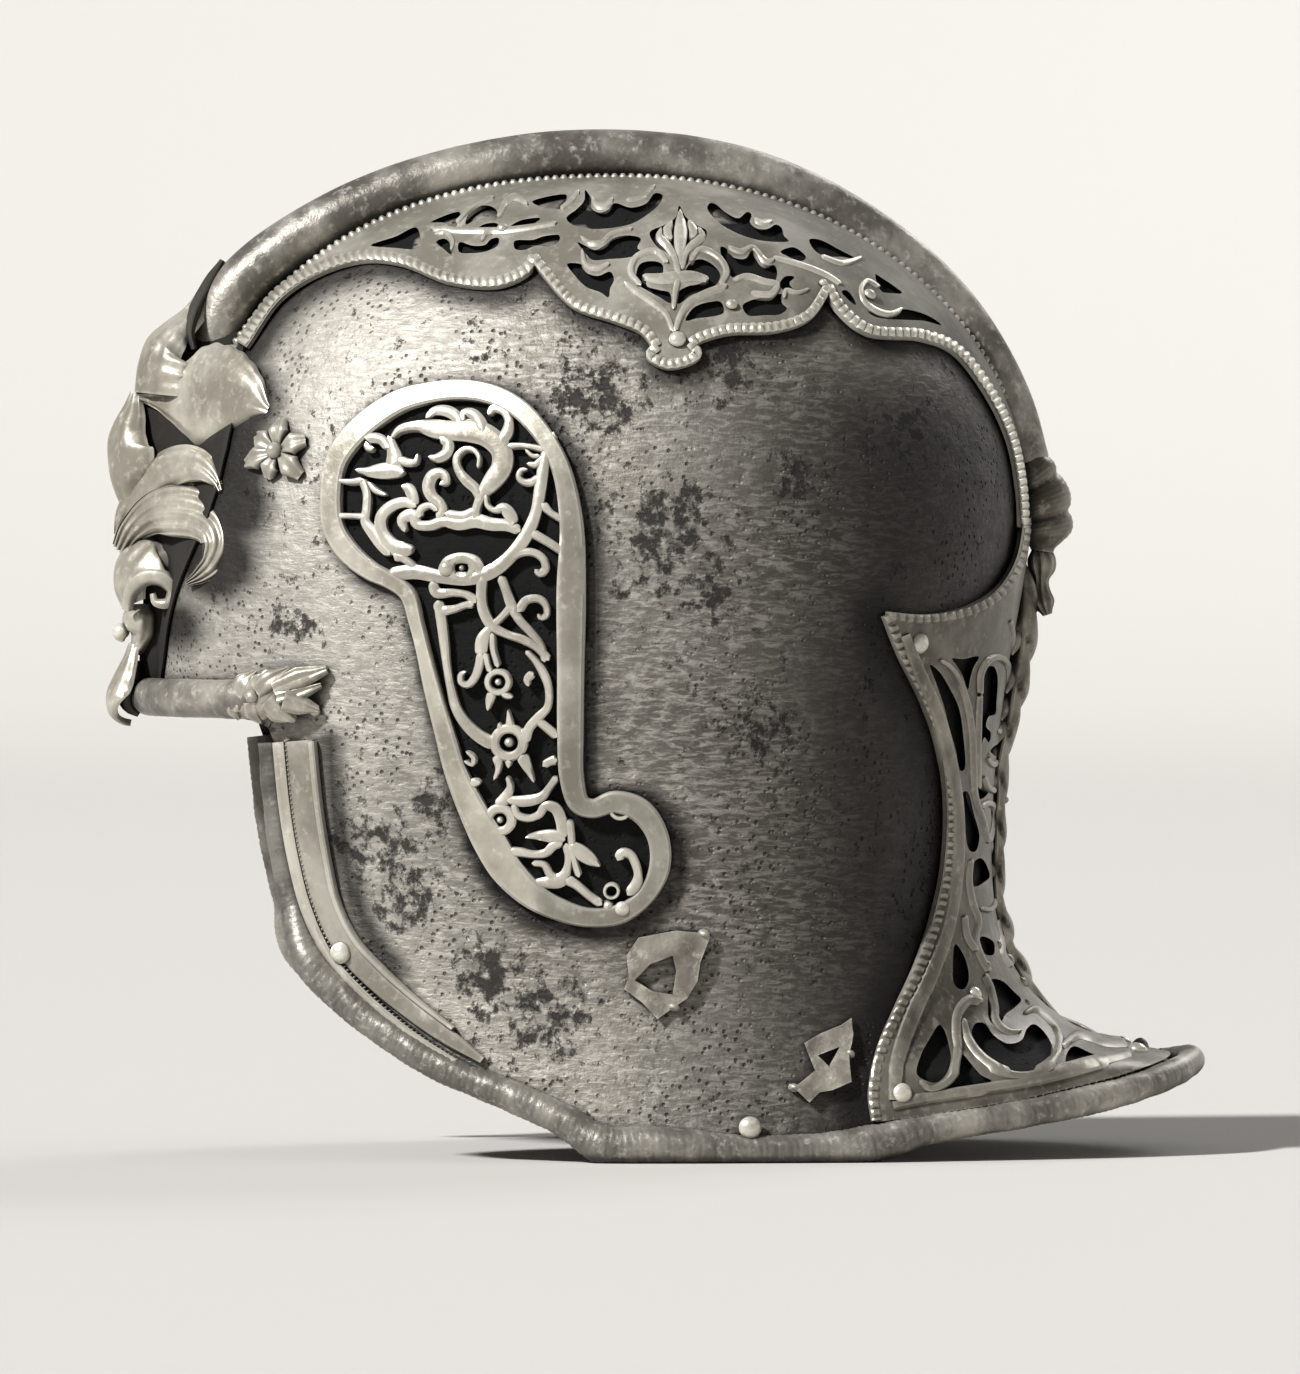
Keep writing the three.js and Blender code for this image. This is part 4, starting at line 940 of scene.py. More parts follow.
DISC_SCROLLS = [
    # The heavy scroll over the top of the disc and its leaves.
    [(-72.9, 202.5, 0.5), (-70.6, 204.9, 1.1), (-66, 205.9, 1.5), (-61.5, 205.2, 2.5), (-56.5, 204.6, 2.7),
     (-51.6, 204.6, 3.2), (-46.6, 203, 3.1), (-43, 199, 2.9), (-43, 194.6, 2.8), (-45.6, 190.7, 2.5),
     (-48.4, 187, 1.6), (-49.8, 183.5, 1.2), (-50.6, 180.5, 1.8)],
    [(-63.4, 208, 0.7), (-61.2, 210, 1.2), (-57.6, 210, 1.6), (-54.8, 208, 1.6), (-54, 205, 1.6)],
    [(-53.2, 207, 0.7), (-53.2, 209.3, 1.1), (-50.9, 209.3, 1.5), (-48.9, 207, 1.8), (-48, 204, 2.0)],
    [(-46.4, 208.8, 0.7), (-45, 210.8, 1.2), (-42.4, 210.2, 1.2), (-40.9, 207.4, 1.2), (-41.5, 204, 1.6),
     (-43.5, 201.5, 1.8)],
    [(-49.4, 194.2, 0.5), (-49.1, 197.2, 0.7), (-50.6, 199.2, 0.8), (-53, 199.4, 0.9), (-55.2, 197.2, 1.0),
     (-54.9, 194, 1.1), (-52.8, 191, 1.4), (-50, 188.3, 1.4), (-48.8, 185, 1.0)],
    [(-59.6, 202.6, 1.2), (-57.5, 201, 1.5), (-58, 198.4, 1.5), (-60.5, 197, 1.3), (-62.8, 197.3, 0.6)],
    # Small hooks at the right.
    [(-35.8, 193.9, 0.4), (-37.6, 193.6, 0.8), (-38.3, 191.8, 0.9), (-37, 190.4, 1.0), (-34.8, 190.4, 1.1),
     (-32.6, 191.8, 1.2)],
    [(-36, 195.4, 0.6), (-33.6, 195.2, 1.0), (-31.4, 197.3, 1.0)],
    [(-36.4, 199.4, 0.5), (-34.4, 197.6, 0.7), (-32.4, 197.6, 0.8)],
    [(-47.2, 187, 0.6), (-46.9, 184, 0.8), (-45, 182.6, 0.9), (-42.5, 183.2, 1.5), (-40.5, 180.8, 1.7),
     (-40, 178.5, 1.4)],
    # The S in the middle, the bar below it and its bud.
    [(-59.8, 189.6, 0.8), (-58.2, 190.7, 1.2), (-59.2, 192.8, 1.3), (-61.6, 192.4, 1.6), (-63, 189.5, 1.7),
     (-62.2, 186.6, 1.6), (-60, 184.5, 1.4), (-59.2, 182.5, 1.3), (-60.6, 180.3, 1.2)],
    [(-69.4, 176.6, 0.8), (-70.2, 180, 1.5), (-67.2, 181.4, 1.7), (-66.3, 178.8, 1.4), (-62.6, 178.4, 1.4),
     (-59, 179.6, 1.5), (-55, 178.9, 1.8), (-50.5, 179.8, 2.0), (-46, 178.8, 1.8), (-41.5, 178.4, 1.6),
     (-37.8, 176.8, 1.3)],
    [(-58.4, 181.6, 1.3), (-53.5, 181, 1.4), (-50, 182.6, 1.3)],
    [(-60.4, 182.4, 0.9), (-62.6, 183.9, 1.0), (-65.2, 182.8, 1.1), (-65.6, 180.4, 1.1)],
    # The leafy ring at the lower left.
    [(-66.2, 183.5, 1.1), (-69, 184.8, 1.4), (-73, 183.8, 1.5), (-75.9, 180.8, 1.5), (-75.8, 176.8, 1.6),
     (-73, 172.8, 2.0), (-70, 171.6, 2.2), (-67.2, 172.3, 0.9)],
    [(-72.4, 170.2, 1.9), (-70.3, 169.4, 1.2), (-68.4, 168, 1.1), (-66.4, 165.6, 1.3)],
    [(-81.2, 191.4, 1.2), (-79.9, 187.5, 1.1), (-80, 183, 1.1), (-80.3, 179.5, 1.3), (-78, 176.2, 1.7),
     (-75.6, 172.4, 1.4), (-73.4, 170.2, 1.2)],
    [(-70.2, 189.2, 0.8), (-68.4, 188.6, 1.5), (-67.2, 186, 1.5), (-67, 183.6, 1.3)],
    [(-79.3, 190.4, 0.5), (-77.4, 188, 0.9), (-74.4, 186.8, 0.4)],
    # Leaves at the upper left.
    [(-82.6, 193.7, 0.6), (-79.5, 193.2, 1.3), (-76, 193.4, 2.1), (-72.5, 193.6, 2.1), (-69.5, 193, 1.1)],
    [(-73.6, 203, 1.0), (-72.8, 200, 1.5), (-72.2, 197, 2.1), (-73, 194, 2.0)],
    [(-71, 196.6, 1.4), (-68.6, 195.8, 1.2), (-66.6, 196, 0.9), (-65.7, 198.2, 0.5)],
    [(-80, 202.6, 1.5), (-76, 202.3, 1.4), (-73.6, 199.6, 1.3)],
    [(-79.7, 201.4, 1.0), (-79.2, 199.7, 1.0), (-77.6, 199.8, 0.8)],
    # The flower where the disc meets the band.
    [(-58.9, 164.5, 1.5), (-57.9, 168, 1.6), (-54.2, 169.4, 1.5), (-50.4, 168.3, 1.6), (-48.8, 164.8, 1.6)],
    [(-52, 164.2, 1.4), (-56, 164.4, 1.2)],
]
BAND_SCROLLS = [
    [(-62, 163, 1.2), (-61, 159.8, 1.5), (-56, 159.7, 1.1), (-52.4, 159, 1.1), (-50, 157, 1.6)],
    [(-60.4, 157.6, 1.4), (-59.8, 155, 1.5), (-56, 155.2, 1.1), (-53.3, 156.2, 1.0), (-50.6, 156.6, 1.3)],
    [(-60.2, 156, 1.4), (-59.4, 150, 1.3), (-58.8, 145, 1.2), (-58.2, 139.5, 1.0), (-57, 133, 1.1),
     (-55.6, 127.6, 1.3), (-52.6, 122.8, 1.5), (-48.8, 119.4, 1.7), (-44.6, 117.4, 1.9)],
    [(-48.4, 164.2, 1.4), (-48.7, 158.5, 1.3), (-48, 154.4, 1.4), (-45.8, 150.6, 1.4), (-42, 148.3, 1.1),
     (-37, 146.6, 1.2), (-33.3, 144.4, 1.1), (-30, 141, 1.2)],
    [(-43.4, 164.4, 1.2), (-41.8, 160, 1.2), (-40.5, 156.5, 1.4), (-38.5, 152.5, 1.2), (-35, 148.5, 1.1),
     (-32.3, 145, 1.0), (-31.2, 140.5, 1.0)],
    [(-40, 156.4, 1.2), (-43.4, 152.6, 1.0), (-46.4, 149.6, 1.3), (-48.3, 146.6, 1.8), (-48.8, 142, 1.6)],
    [(-42, 168.2, 1.3), (-38.5, 170.6, 1.1), (-34.6, 171, 1.1), (-31.6, 169, 1.1), (-31.1, 166.3, 1.1),
     (-32.7, 165.1, 1.1), (-33.9, 166.3, 0.6)],
    [(-38.6, 154.4, 1.2), (-36.4, 157.6, 1.2), (-33, 158, 1.1), (-31, 156.2, 1.0), (-30.8, 153.6, 0.9),
     (-32.3, 152.7, 0.8), (-33.1, 153.9, 0.5)],
    [(-48.6, 143, 1.3), (-49.2, 139.4, 1.2), (-50.5, 136, 1.1), (-52.4, 134.1, 1.0), (-54.1, 134.8, 0.9),
     (-54.1, 137, 0.8), (-52.9, 137.7, 0.5)],
    [(-47.6, 143, 1.1), (-46.8, 139.6, 0.9), (-46, 137.6, 1.0)],
    [(-45.6, 132.2, 1.3), (-46.4, 129.6, 1.1), (-46.8, 127, 0.4)],
    [(-43, 131.9, 1.1), (-41.2, 131, 0.9), (-39.9, 130.8, 0.4)],
    [(-45.6, 148.6, 0.9), (-45.4, 144, 0.9), (-44, 139, 0.9)],
    [(-34.3, 137.6, 1.2), (-36, 135.6, 1.1), (-35.6, 133.8, 0.6)],
    [(-36.4, 143.6, 0.8), (-33.6, 140.6, 1.0), (-31.4, 137, 1.2), (-30.1, 133, 1.1), (-30.4, 128, 1.1),
     (-33, 125, 1.3), (-35.5, 122, 1.3), (-36.6, 118, 1.3)],
    [(-34, 125, 1.2), (-31, 122.5, 1.2), (-27.6, 119.6, 1.3)],
    # The star flower and the leaves round it.
    [(-43, 120.8, 1.5), (-43.7, 123.6, 0.4)],
    [(-40.6, 121.3, 1.6), (-40.9, 124.4, 0.9), (-41.2, 127.2, 0.3)],
    [(-38, 119.6, 1.7), (-36, 121.8, 0.9)],
    [(-37.6, 114.8, 1.9), (-35.6, 110.4, 1.1), (-34, 107, 0.3)],
    [(-44.2, 114.6, 1.7), (-43.8, 110.8, 0.9), (-45, 107.6, 0.4)],
    [(-41, 113.5, 1.4), (-41, 111, 0.5)],
    [(-52.7, 115.6, 0.4), (-50.6, 113.6, 0.8), (-51, 111.9, 0.7), (-53.2, 112.9, 0.5)],
    [(-51.6, 106.6, 1.6), (-48.6, 107, 0.8)],
    [(-27.6, 113.4, 1.5), (-30, 112.6, 1.1), (-31.6, 111.6, 1.2)],
    [(-44, 99.8, 1.9), (-42, 102.4, 1.6), (-40.6, 105.6, 1.0), (-41.4, 108.6, 0.6)],
    [(-41.4, 102, 1.1), (-37, 101.6, 1.5), (-32, 102.8, 1.3), (-29.8, 105.5, 1.0), (-27.6, 108.6, 1.1)],
    [(-39.6, 101, 1.0), (-38.8, 98, 1.1), (-35.5, 96.8, 1.0), (-32.5, 98, 1.1), (-30.8, 100.4, 1.3),
     (-28, 99.5, 1.5), (-26.4, 96, 1.6), (-25.6, 91.5, 1.9)],
    # The leaf that reaches into the lower roundel.
    [(-36.2, 91.6, 0.3), (-32.5, 92, 1.2), (-29, 91.8, 1.8), (-25.3, 91, 2.0)],
    [(-24.4, 89.4, 1.7), (-21, 87.2, 2.0), (-18, 85.1, 1.6), (-15.6, 83.4, 0.3)],
    [(-25, 90, 1.4), (-24.3, 86, 1.1), (-24.8, 82.4, 1.2), (-26.4, 79.6, 2.0), (-30, 78.8, 1.7),
     (-34.6, 78.4, 1.0)],
    [(-42, 87.4, 1.4), (-37.6, 87.2, 1.2), (-34, 86.6, 1.0), (-30.6, 87.2, 1.2), (-28.4, 89.3, 1.3),
     (-26, 90, 1.2)],
    [(-34.4, 84.3, 1.0), (-31.2, 83.8, 1.0), (-29.4, 81, 1.1), (-27.5, 79.5, 1.3)],
    [(-25, 80, 1.6), (-22, 78, 1.2), (-18.5, 75, 1.1), (-15, 72.6, 1.3)],
    [(-10.8, 85.2, 1.5), (-9.6, 87.1, 1.3), (-7.3, 86.6, 1.2), (-5.8, 84, 1.2), (-5.1, 81, 1.2),
     (-5.6, 78, 1.7), (-8, 75.4, 1.4)],
    [(-24.4, 96.5, 1.2), (-23.8, 92, 1.1), (-23.2, 86.5, 1.0), (-21.4, 80.4, 1.0)],
]
# Small rings with a bead in the middle: y, z, radius and half width.
PLAQUE_RINGS = [(-54, 166.6, 3.0, 1.1), (-44, 134.9, 2.9, 0.9), (-41, 118, 3.9, 1.3),
                (-43.3, 96.4, 3.2, 1.3), (-12.4, 76.4, 1.9, 0.5), (-10.2, 99.6, 2.6, 0.7)]
PLAQUE_BEADS = [(-54, 166.6, 1.0), (-44, 134.9, 1.2), (-41, 118, 1.6), (-43.3, 96.4, 1.2), (-13.3, 72, 1.9)]


def painted_frame_shade(points):
    """Painted shade on the plaque's frame: bright in front, darker behind its middle line."""
    middle = np.interp(points[:, 2], [66, 80, 110, 160, 200, 217], [-36, -36, -31, -27, -30, -42])
    return 0.4 * np.clip((points[:, 1] - middle) / 5, 0, 1)


plaque = Shape()
# The frame's back side gets painted shade.
plaque.mark = painted_frame_shade
plaque.ribbon(PLAQUE_FRAME, TOP + 0.1, closed=True, bevel=0.7, spacing=0.7)
plaque.mark = 0.0
plaque.strokes(PLAQUE_STRAPS + DISC_SCROLLS + BAND_SCROLLS, TOP - 0.4)
for y, z, radius, half in PLAQUE_RINGS:
    ring = [(y + radius * math.cos(a), z + radius * math.sin(a), half)
            for a in np.arange(0, 6.2, math.pi / 5)]
    plaque.ribbon(ring, TOP - 0.35, closed=True, spacing=0.5, crown=0.3)
for y, z, radius in PLAQUE_BEADS:
    plaque.stud(y, z, radius, 2.6, rows=5)
make_pair("side_plaque", plaque, MOUNT)


# ---- Pierced plates -----------------------------------------------------------------------------------
def pierced(heights, turns, outline, holes, high, low=GAP, inner_x=6.0, mark=0.0):
    """The layer over the skull between low and high, cut to a side-view outline and pierced."""
    turn, z = np.meshgrid(turns, heights)
    base = by_turn(turn, z)
    normal = skin_normal(base)
    n, m = z.shape
    points = np.vstack([(base + normal * high).reshape(-1, 3), (base + normal * low).reshape(-1, 3)])
    half = n * m
    faces = []
    for i in range(n - 1):
        for j in range(m - 1):
            a, b, c, d = i * m + j, i * m + j + 1, (i + 1) * m + j + 1, (i + 1) * m + j
            faces += [(a, d, c, b), (half + a, half + b, half + c, half + d)]
    for j in range(m - 1):
        last = (n - 1) * m + j
        faces += [(j, j + 1, half + j + 1, half + j), (last + 1, last, half + last, half + last + 1)]
    for i in range(n - 1):
        a, b = i * m, (i + 1) * m
        faces += [(b, a, half + a, half + b), (a + m - 1, b + m - 1, half + b + m - 1, half + a + m - 1)]
    layer = carved(new_mesh("layer", points, faces),
                   ("INTERSECT", prism("outline", [outline], inner_x, 160)),
                   ("DIFFERENCE", prism("holes", holes, inner_x - 6, 165)))
    shape = Shape()
    shape.mark = mark
    shape.add_mesh(layer)
    shape.mark = 0.0
    bpy.data.meshes.remove(layer)
    return shape


def smooth_loop(points):
    return [tuple(p) for p in curve(points, 0.8, True)[0][:-1]]


CROWN_HOLES = [
    [(-78, 257.8), (-71, 260.3), (-65, 262.8), (-64.8, 257), (-72, 257)],
    [(-61, 264.3), (-52.7, 267.2), (-54.8, 262.3), (-57.5, 264.1)],
    [(-50.5, 266.5), (-48, 268.7), (-44.5, 269), (-42.4, 267.4), (-43, 264.9), (-47, 265.6), (-51.5, 263.5)],
    [(-49.5, 261), (-46.8, 263.4), (-42.8, 263.8), (-41.9, 262), (-44.5, 260.5)],
    [(-40.8, 261.4), (-36.5, 264.5), (-30.5, 265.2), (-34, 262.8), (-38, 261.6)],
    [(-32.5, 270), (-28, 271.6), (-22.5, 272), (-23.8, 268.8), (-25.5, 267.8), (-29, 268.2)],
    [(-23.4, 265.2), (-20, 268), (-17.8, 270.5), (-17.2, 273.6), (-15.8, 270.8), (-16, 268), (-14, 266.8),
     (-11.5, 267.6), (-9.5, 269.6), (-5, 268.3), (-0.5, 269.5), (2.5, 272.6), (4.6, 272), (3.5, 269.5),
     (0, 266.5), (-5, 263.6), (-12, 262.2), (-18, 262.2), (-22, 263.4)],
    [(-60, 258.5), (-57.5, 259.5), (-55.9, 257.5), (-56, 254.8), (-58, 256.5)],
    [(-53.8, 255.6), (-53.6, 258.4), (-50, 257.4), (-46.5, 257.6), (-44.8, 259.2), (-42.6, 259.6),
     (-42.8, 257.6), (-46, 255.8), (-50, 255.2)],
    [(-38.3, 258.6), (-33, 259), (-30, 260), (-25.6, 260.2), (-25.8, 258.5), (-29, 257), (-32, 257.3),
     (-36, 256), (-38.3, 256.4)],
    [(-20.8, 258.3), (-18.5, 257.2), (-16, 256), (-13, 257.5), (-10.5, 259.4), (-6, 260.2), (-2.8, 259.2),
     (-4, 256.5), (-2, 255.2), (-7, 253.8), (-12, 253.4), (-17, 253.2), (-18.6, 255)],
    [(-24, 252), (-19.8, 251.8), (-18.8, 249.6), (-15.5, 248.6), (-12, 249.8), (-11, 247.6), (-12.2, 245),
     (-12.8, 242.4), (-14.8, 243.8), (-19, 245.5), (-22.2, 249)],
    [(-4.8, 249), (-3.5, 252), (0.4, 252.8), (2.8, 251.8), (2.4, 248.6), (-1.5, 248), (-2, 245.8),
     (1.5, 244.6), (4.4, 243.8), (4.6, 240.8), (1.5, 242.5), (-2, 244.5), (-4.5, 246.3)],
    [(8.8, 248.8), (10.4, 252), (13.4, 253.4), (16.8, 252), (19, 249), (18, 246.4), (15, 244.6),
     (10.6, 243.2), (6.6, 240.6), (6.4, 243.6), (9.4, 245.6), (13, 246.4), (15.6, 248.2), (12, 249)],
    [(8.5, 235.9), (11, 239.6), (16, 241.3), (18.8, 241.2), (19.4, 238.2), (15.5, 237), (12, 236.6)],
    [(-0.3, 261), (4, 263.2), (7.6, 265.6), (8.9, 269), (10.4, 265.6), (13.4, 263.2), (16, 261.5),
     (14.5, 257.8), (11, 255.8), (9.6, 251.6), (6.2, 251.6), (4.6, 254.8), (1.5, 257)],
    [(16.8, 268.3), (18, 269.8), (19.5, 269.4), (22, 267), (25.5, 265.3), (28.5, 267.3), (29.6, 266.3),
     (28.8, 264), (30.5, 262.4), (33.5, 262.2), (36.5, 263.6), (38, 262.4), (38.3, 260.2), (39.6, 258.8),
     (36, 258.5), (30, 259.1), (24, 261.2), (19.5, 264.2)],
    [(19.6, 257), (21, 256.7), (23, 254), (26.5, 253.6), (28.5, 256), (30.5, 253), (32.5, 251.6),
     (34.6, 251.8), (35.4, 249.8), (34.4, 247), (31.5, 246.6), (28, 247.4), (25, 248.7), (22.8, 248),
     (21.2, 249.6), (21.2, 252), (19.6, 254.5)],
    [(36.7, 255.6), (40.8, 257), (44.2, 254), (42.6, 253), (38.4, 254.5)],
    [(45.6, 259.3), (48.5, 259.4), (55, 256.2), (59.4, 253.8), (55, 254.4), (50, 254.5), (47, 256)],
    [(24.8, 240.2), (27, 241.6), (30.5, 242.5), (33, 243), (36.3, 243.5), (36.1, 241), (37.6, 239.4),
     (35.6, 237.8), (31, 237.5), (26.2, 237.5)],
    [(35.8, 246.2), (37.6, 248.6), (40.4, 248.4), (38.6, 246.6), (39.6, 244.9), (37.2, 244.4)],
    [(53.7, 244.4), (55.2, 244.8), (57, 242.8), (57.8, 240.4), (55.6, 242)],
    [(64.5, 249.6), (66.5, 248.4), (70, 246.1), (72.2, 244.2), (69, 244.1), (65.6, 244.7)],
    [(61, 238.9), (62.6, 237.5), (66.5, 236.7), (72, 236.5), (78, 236.3), (83.6, 235.2), (80.3, 237.5),
     (75, 239.2), (71, 239.4), (70, 237.8), (66, 237.4)],
]
CROWN_STROKES = [
    # The bud over the heart and its pair of long leaves.
    [(7.2, 247, 0.9), (6.4, 252, 1.0), (4.4, 256, 1.2), (2.4, 258.5, 1.1), (3, 260.6, 0.5)],
    [(8, 249, 0.8), (9.6, 254, 1.0), (12, 256.6, 1.2), (14.4, 258.8, 1.1), (13.4, 260.9, 0.5)],
    [(8, 250, 0.8), (8, 256, 1.6), (8.6, 261, 1.8), (8.8, 266, 0.6)],
    [(5.6, 257.5, 0.9), (4.6, 260, 1.3), (6.2, 262.6, 0.7)],
    [(11.4, 257.8, 0.9), (12.2, 260.4, 1.3), (10.8, 262.9, 0.7)],
    [(-3, 247.2, 1.0), (1.6, 246.7, 1.5), (7, 247.2, 1.7), (11.4, 247.4, 1.4), (15.4, 246.4, 0.9)],
    [(7, 247, 1.0), (6, 243, 0.9), (5.2, 238, 0.7)],
    [(-8, 245.6, 0.8), (-5, 243.3, 1.1), (-1, 240.4, 1.1), (3, 237, 1.0), (5, 231.8, 0.9)],
    [(20.4, 244.8, 1.0), (14, 242.4, 1.1), (9.5, 239.8, 1.1), (7, 236.2, 1.0), (5.4, 231.8, 0.9)],
    [(18.6, 244.8, 0.9), (20.6, 248.6, 1.0), (18.8, 252.6, 0.9), (13.6, 255, 0.9), (10.4, 251.4, 0.8)],
    [(-3.6, 244.6, 0.9), (-6.2, 248.6, 1.0), (-4.4, 252.8, 0.9), (1, 254.4, 0.9), (4.2, 251, 0.8)],
    # Veins and curled tips of the other leaves.
    [(-15.4, 269.6, 0.5), (-14.6, 267.6, 0.9), (-12, 267.2, 0.9), (-9.8, 269.4, 0.6)],
    [(-6, 268.8, 0.6), (-1, 270.2, 0.8), (2.6, 273.2, 0.6)],
    [(-24.6, 266.2, 0.7), (-21.6, 268.6, 0.8), (-19, 271.4, 0.6)],
    [(-19.6, 258.4, 0.5), (-17.4, 256.8, 0.9), (-14, 256.8, 0.9), (-11, 259.2, 0.8), (-5, 260.8, 0.6)],
    [(-19.4, 254.6, 0.5), (-18.6, 250.6, 0.9), (-15.2, 249.6, 0.9), (-12, 250.8, 0.6)],
    [(-60.6, 261, 0.8), (-50, 260.4, 0.9), (-40, 260.5, 0.9), (-31, 261.6, 0.8), (-26, 262.4, 0.7)],
    [(-59.6, 259.2, 0.5), (-57, 260.2, 0.8), (-55, 257.6, 0.8), (-55.4, 254.6, 0.5)],
    [(-47, 257.2, 0.5), (-45.6, 259.6, 0.8), (-43, 260.4, 0.6)],
    [(-53.6, 262.6, 0.7), (-48.6, 267, 0.5), (-42.6, 270, 0.7)],
    [(-42, 263.8, 0.7), (-39.4, 268.6, 0.9), (-36.6, 270, 1.1), (-33.6, 267.6, 0.6)],
    [(29.6, 263.6, 0.6), (31.4, 262.6, 0.9), (34.6, 263, 0.6)],
    [(21.4, 255.6, 0.6), (25, 254.4, 0.9), (28.4, 255.6, 0.7), (32, 251.6, 1.0), (34.4, 252.2, 0.5)],
    [(22, 246, 0.8), (26, 247.4, 0.9), (31, 246, 0.9), (34.6, 245, 0.9), (33, 242.6, 1.0), (27, 242.6, 0.8)],
    [(36.4, 241.2, 0.5), (37, 243.4, 0.8), (40, 242.8, 0.7), (43.6, 243.8, 0.5)],
    [(34, 252.6, 0.6), (42, 250.6, 0.8), (49, 247.8, 0.8), (53, 245.2, 0.6)],
    [(48, 253.2, 0.6), (54, 251.4, 0.8), (60, 253, 0.5)],
    [(70.6, 238.6, 0.6), (67, 237.2, 0.9), (62.6, 238.2, 1.0), (59.4, 241, 0.9), (59, 244.4, 0.8),
     (61, 246.4, 0.8), (64.4, 244.6, 0.6)],
]

# Small heads on the crown plate and on the nape plate: y, z and radius, and on the nape a height.
CROWN_STUDS = [(21.4, 239.2, 1.7), (61, 242.2, 1.9), (-41, 260.6, 1.6), (47.6, 245.2, 1.2), (5.6, 229, 1.5)]
NAPE_STUDS = [(106.6, 47, 2.2, 3.2), (103.4, 53.4, 2.6, 3.0), (99, 58.6, 1.8, 2.8), (107, 41.6, 1.6, 2.6),
              (94.4, 53, 2.0, 3.0), (102.6, 100, 1.6, 2.8), (100.6, 90, 1.8, 2.8), (95.4, 113.4, 1.6, 2.6)]

crown_outline = [tuple(p) for run in CROWN_BORDER for p in curve(run, 1.2)[0][:-1]]
crown_outline += [(107, 177), (150, 175), (150, 330), (-128, 330), (-128, 240), (-118, 233)]
CROWN_PLATE_FOOT = 170
crown_rise = CROWN_Z - 0.05 - CROWN_PLATE_FOOT
# The plate is darkened all over, and more toward the back as painted shade.
crown = pierced(CROWN_PLATE_FOOT + crown_rise * np.sin(np.linspace(0.0, math.pi / 2, 64)),
                np.linspace(0.004, 0.496, 150), crown_outline, [smooth_loop(h) for h in CROWN_HOLES],
                TOP - 1.1, mark=lambda p: 0.34 + 0.34 * np.clip((p[:, 1] - 5) / 45, 0, 1))


def milling(pitch, depth):
    """Square notches across a ribbon."""
    return lambda s: -depth * (np.abs(np.sin(s / pitch * np.pi)) < 0.5)


for run in CROWN_BORDER:
    crown.ribbon([(y, z, 1.3) for y, z in run], TOP - 0.1, spacing=0.55, ripple=milling(2.2, 0.45),
                 bevel=0.5)
crown.strokes(CROWN_STROKES, TOP - 0.7, crown=0.35)
for y, z, radius in CROWN_STUDS:
    crown.stud(y, z, radius, 1.3, lift=TOP - 0.6, around=14)
make_pair("crown_plate", crown, MOUNT)

# ---- Nape plate ---------------------------------------------------------------------------------------
NAPE_HOLES = [
    [(77.8, 139.4), (80.8, 137.2), (84, 132.6), (87, 127), (88.6, 119), (89.2, 109.6), (88, 109),
     (86, 115.7), (84, 121.6), (82.2, 127.8), (79.8, 134)],
    [(84.5, 141), (88, 140.8), (93.2, 141.4), (91.4, 138.3), (90.4, 135), (89.8, 132), (88, 136), (86, 139)],
    [(93.6, 135), (95.4, 138), (98, 138.6), (99.7, 136), (99.8, 128), (99.5, 124.8), (97, 124.2),
     (96.2, 121.4), (98, 119.6), (97.4, 116.8), (95.6, 118.4), (94.6, 115.8), (93.2, 115), (93, 125)],
    [(98, 114.4), (101.2, 116), (104, 114), (101, 112.6)],
    [(105, 149), (107.6, 149), (108, 146), (107.6, 141), (106.8, 136), (105.8, 138.6), (104.9, 143.4)],
    [(105.4, 125.4), (107.8, 125.8), (107.6, 123), (106.6, 119), (105.6, 121)],
    [(91.6, 106), (93, 107.6), (95.4, 105.8), (98.2, 104), (96.6, 101.4), (93.6, 100.8), (91.8, 102.6)],
    [(88.8, 103), (90.2, 103.2), (92.6, 96.5), (94.6, 90), (93.2, 86), (91.2, 86.4), (89.4, 94)],
    [(99.4, 99), (101.8, 97.4), (102.6, 94.8), (100.6, 93.8), (99.2, 96.2)],
    [(86.4, 60.2), (89.4, 56), (90.2, 50), (88.4, 47.4), (85.8, 48.8), (85.4, 54)],
    [(90.8, 79.8), (92.6, 83), (95.2, 84), (97.6, 81.4), (98.6, 78.4), (96.3, 77), (93, 76), (91, 77.2)],
    [(94.6, 61.8), (97, 61.4), (99.2, 59.8), (98.8, 56.6), (96, 56.8), (94, 59)],
    [(97.2, 49.8), (101, 49.2), (104.4, 46.2), (106.6, 43.8), (104, 41.8), (101, 40.2), (98.6, 37.4),
     (96, 38.4), (95.8, 44)],
    [(90.2, 35.8), (91.6, 38.1), (94.4, 37.9), (96.6, 34.8), (100.6, 32.4), (105, 33.2), (107, 36),
     (109.4, 37.2), (112.2, 35.2), (114, 31), (112.6, 27.8), (108.4, 25.4), (103, 24.4), (97.8, 25.8),
     (93.2, 28.8), (90.6, 32.4)],
    [(80.8, 38), (82.4, 35.8), (83.4, 31.6), (83.6, 28), (81.6, 23.8), (79, 22), (75.8, 22.8), (73.4, 24.6),
     (75, 30), (77.8, 34.4)],
    [(86.9, 29.8), (88.6, 28), (91.8, 24.2), (95, 22.3), (92, 21), (85, 20), (81.4, 20), (84, 22.8),
     (85.8, 26.4)],
    [(118, 29.4), (120.5, 31), (126, 28.9), (131.6, 28), (126, 26.8), (120.4, 25.8), (117, 27)],
]
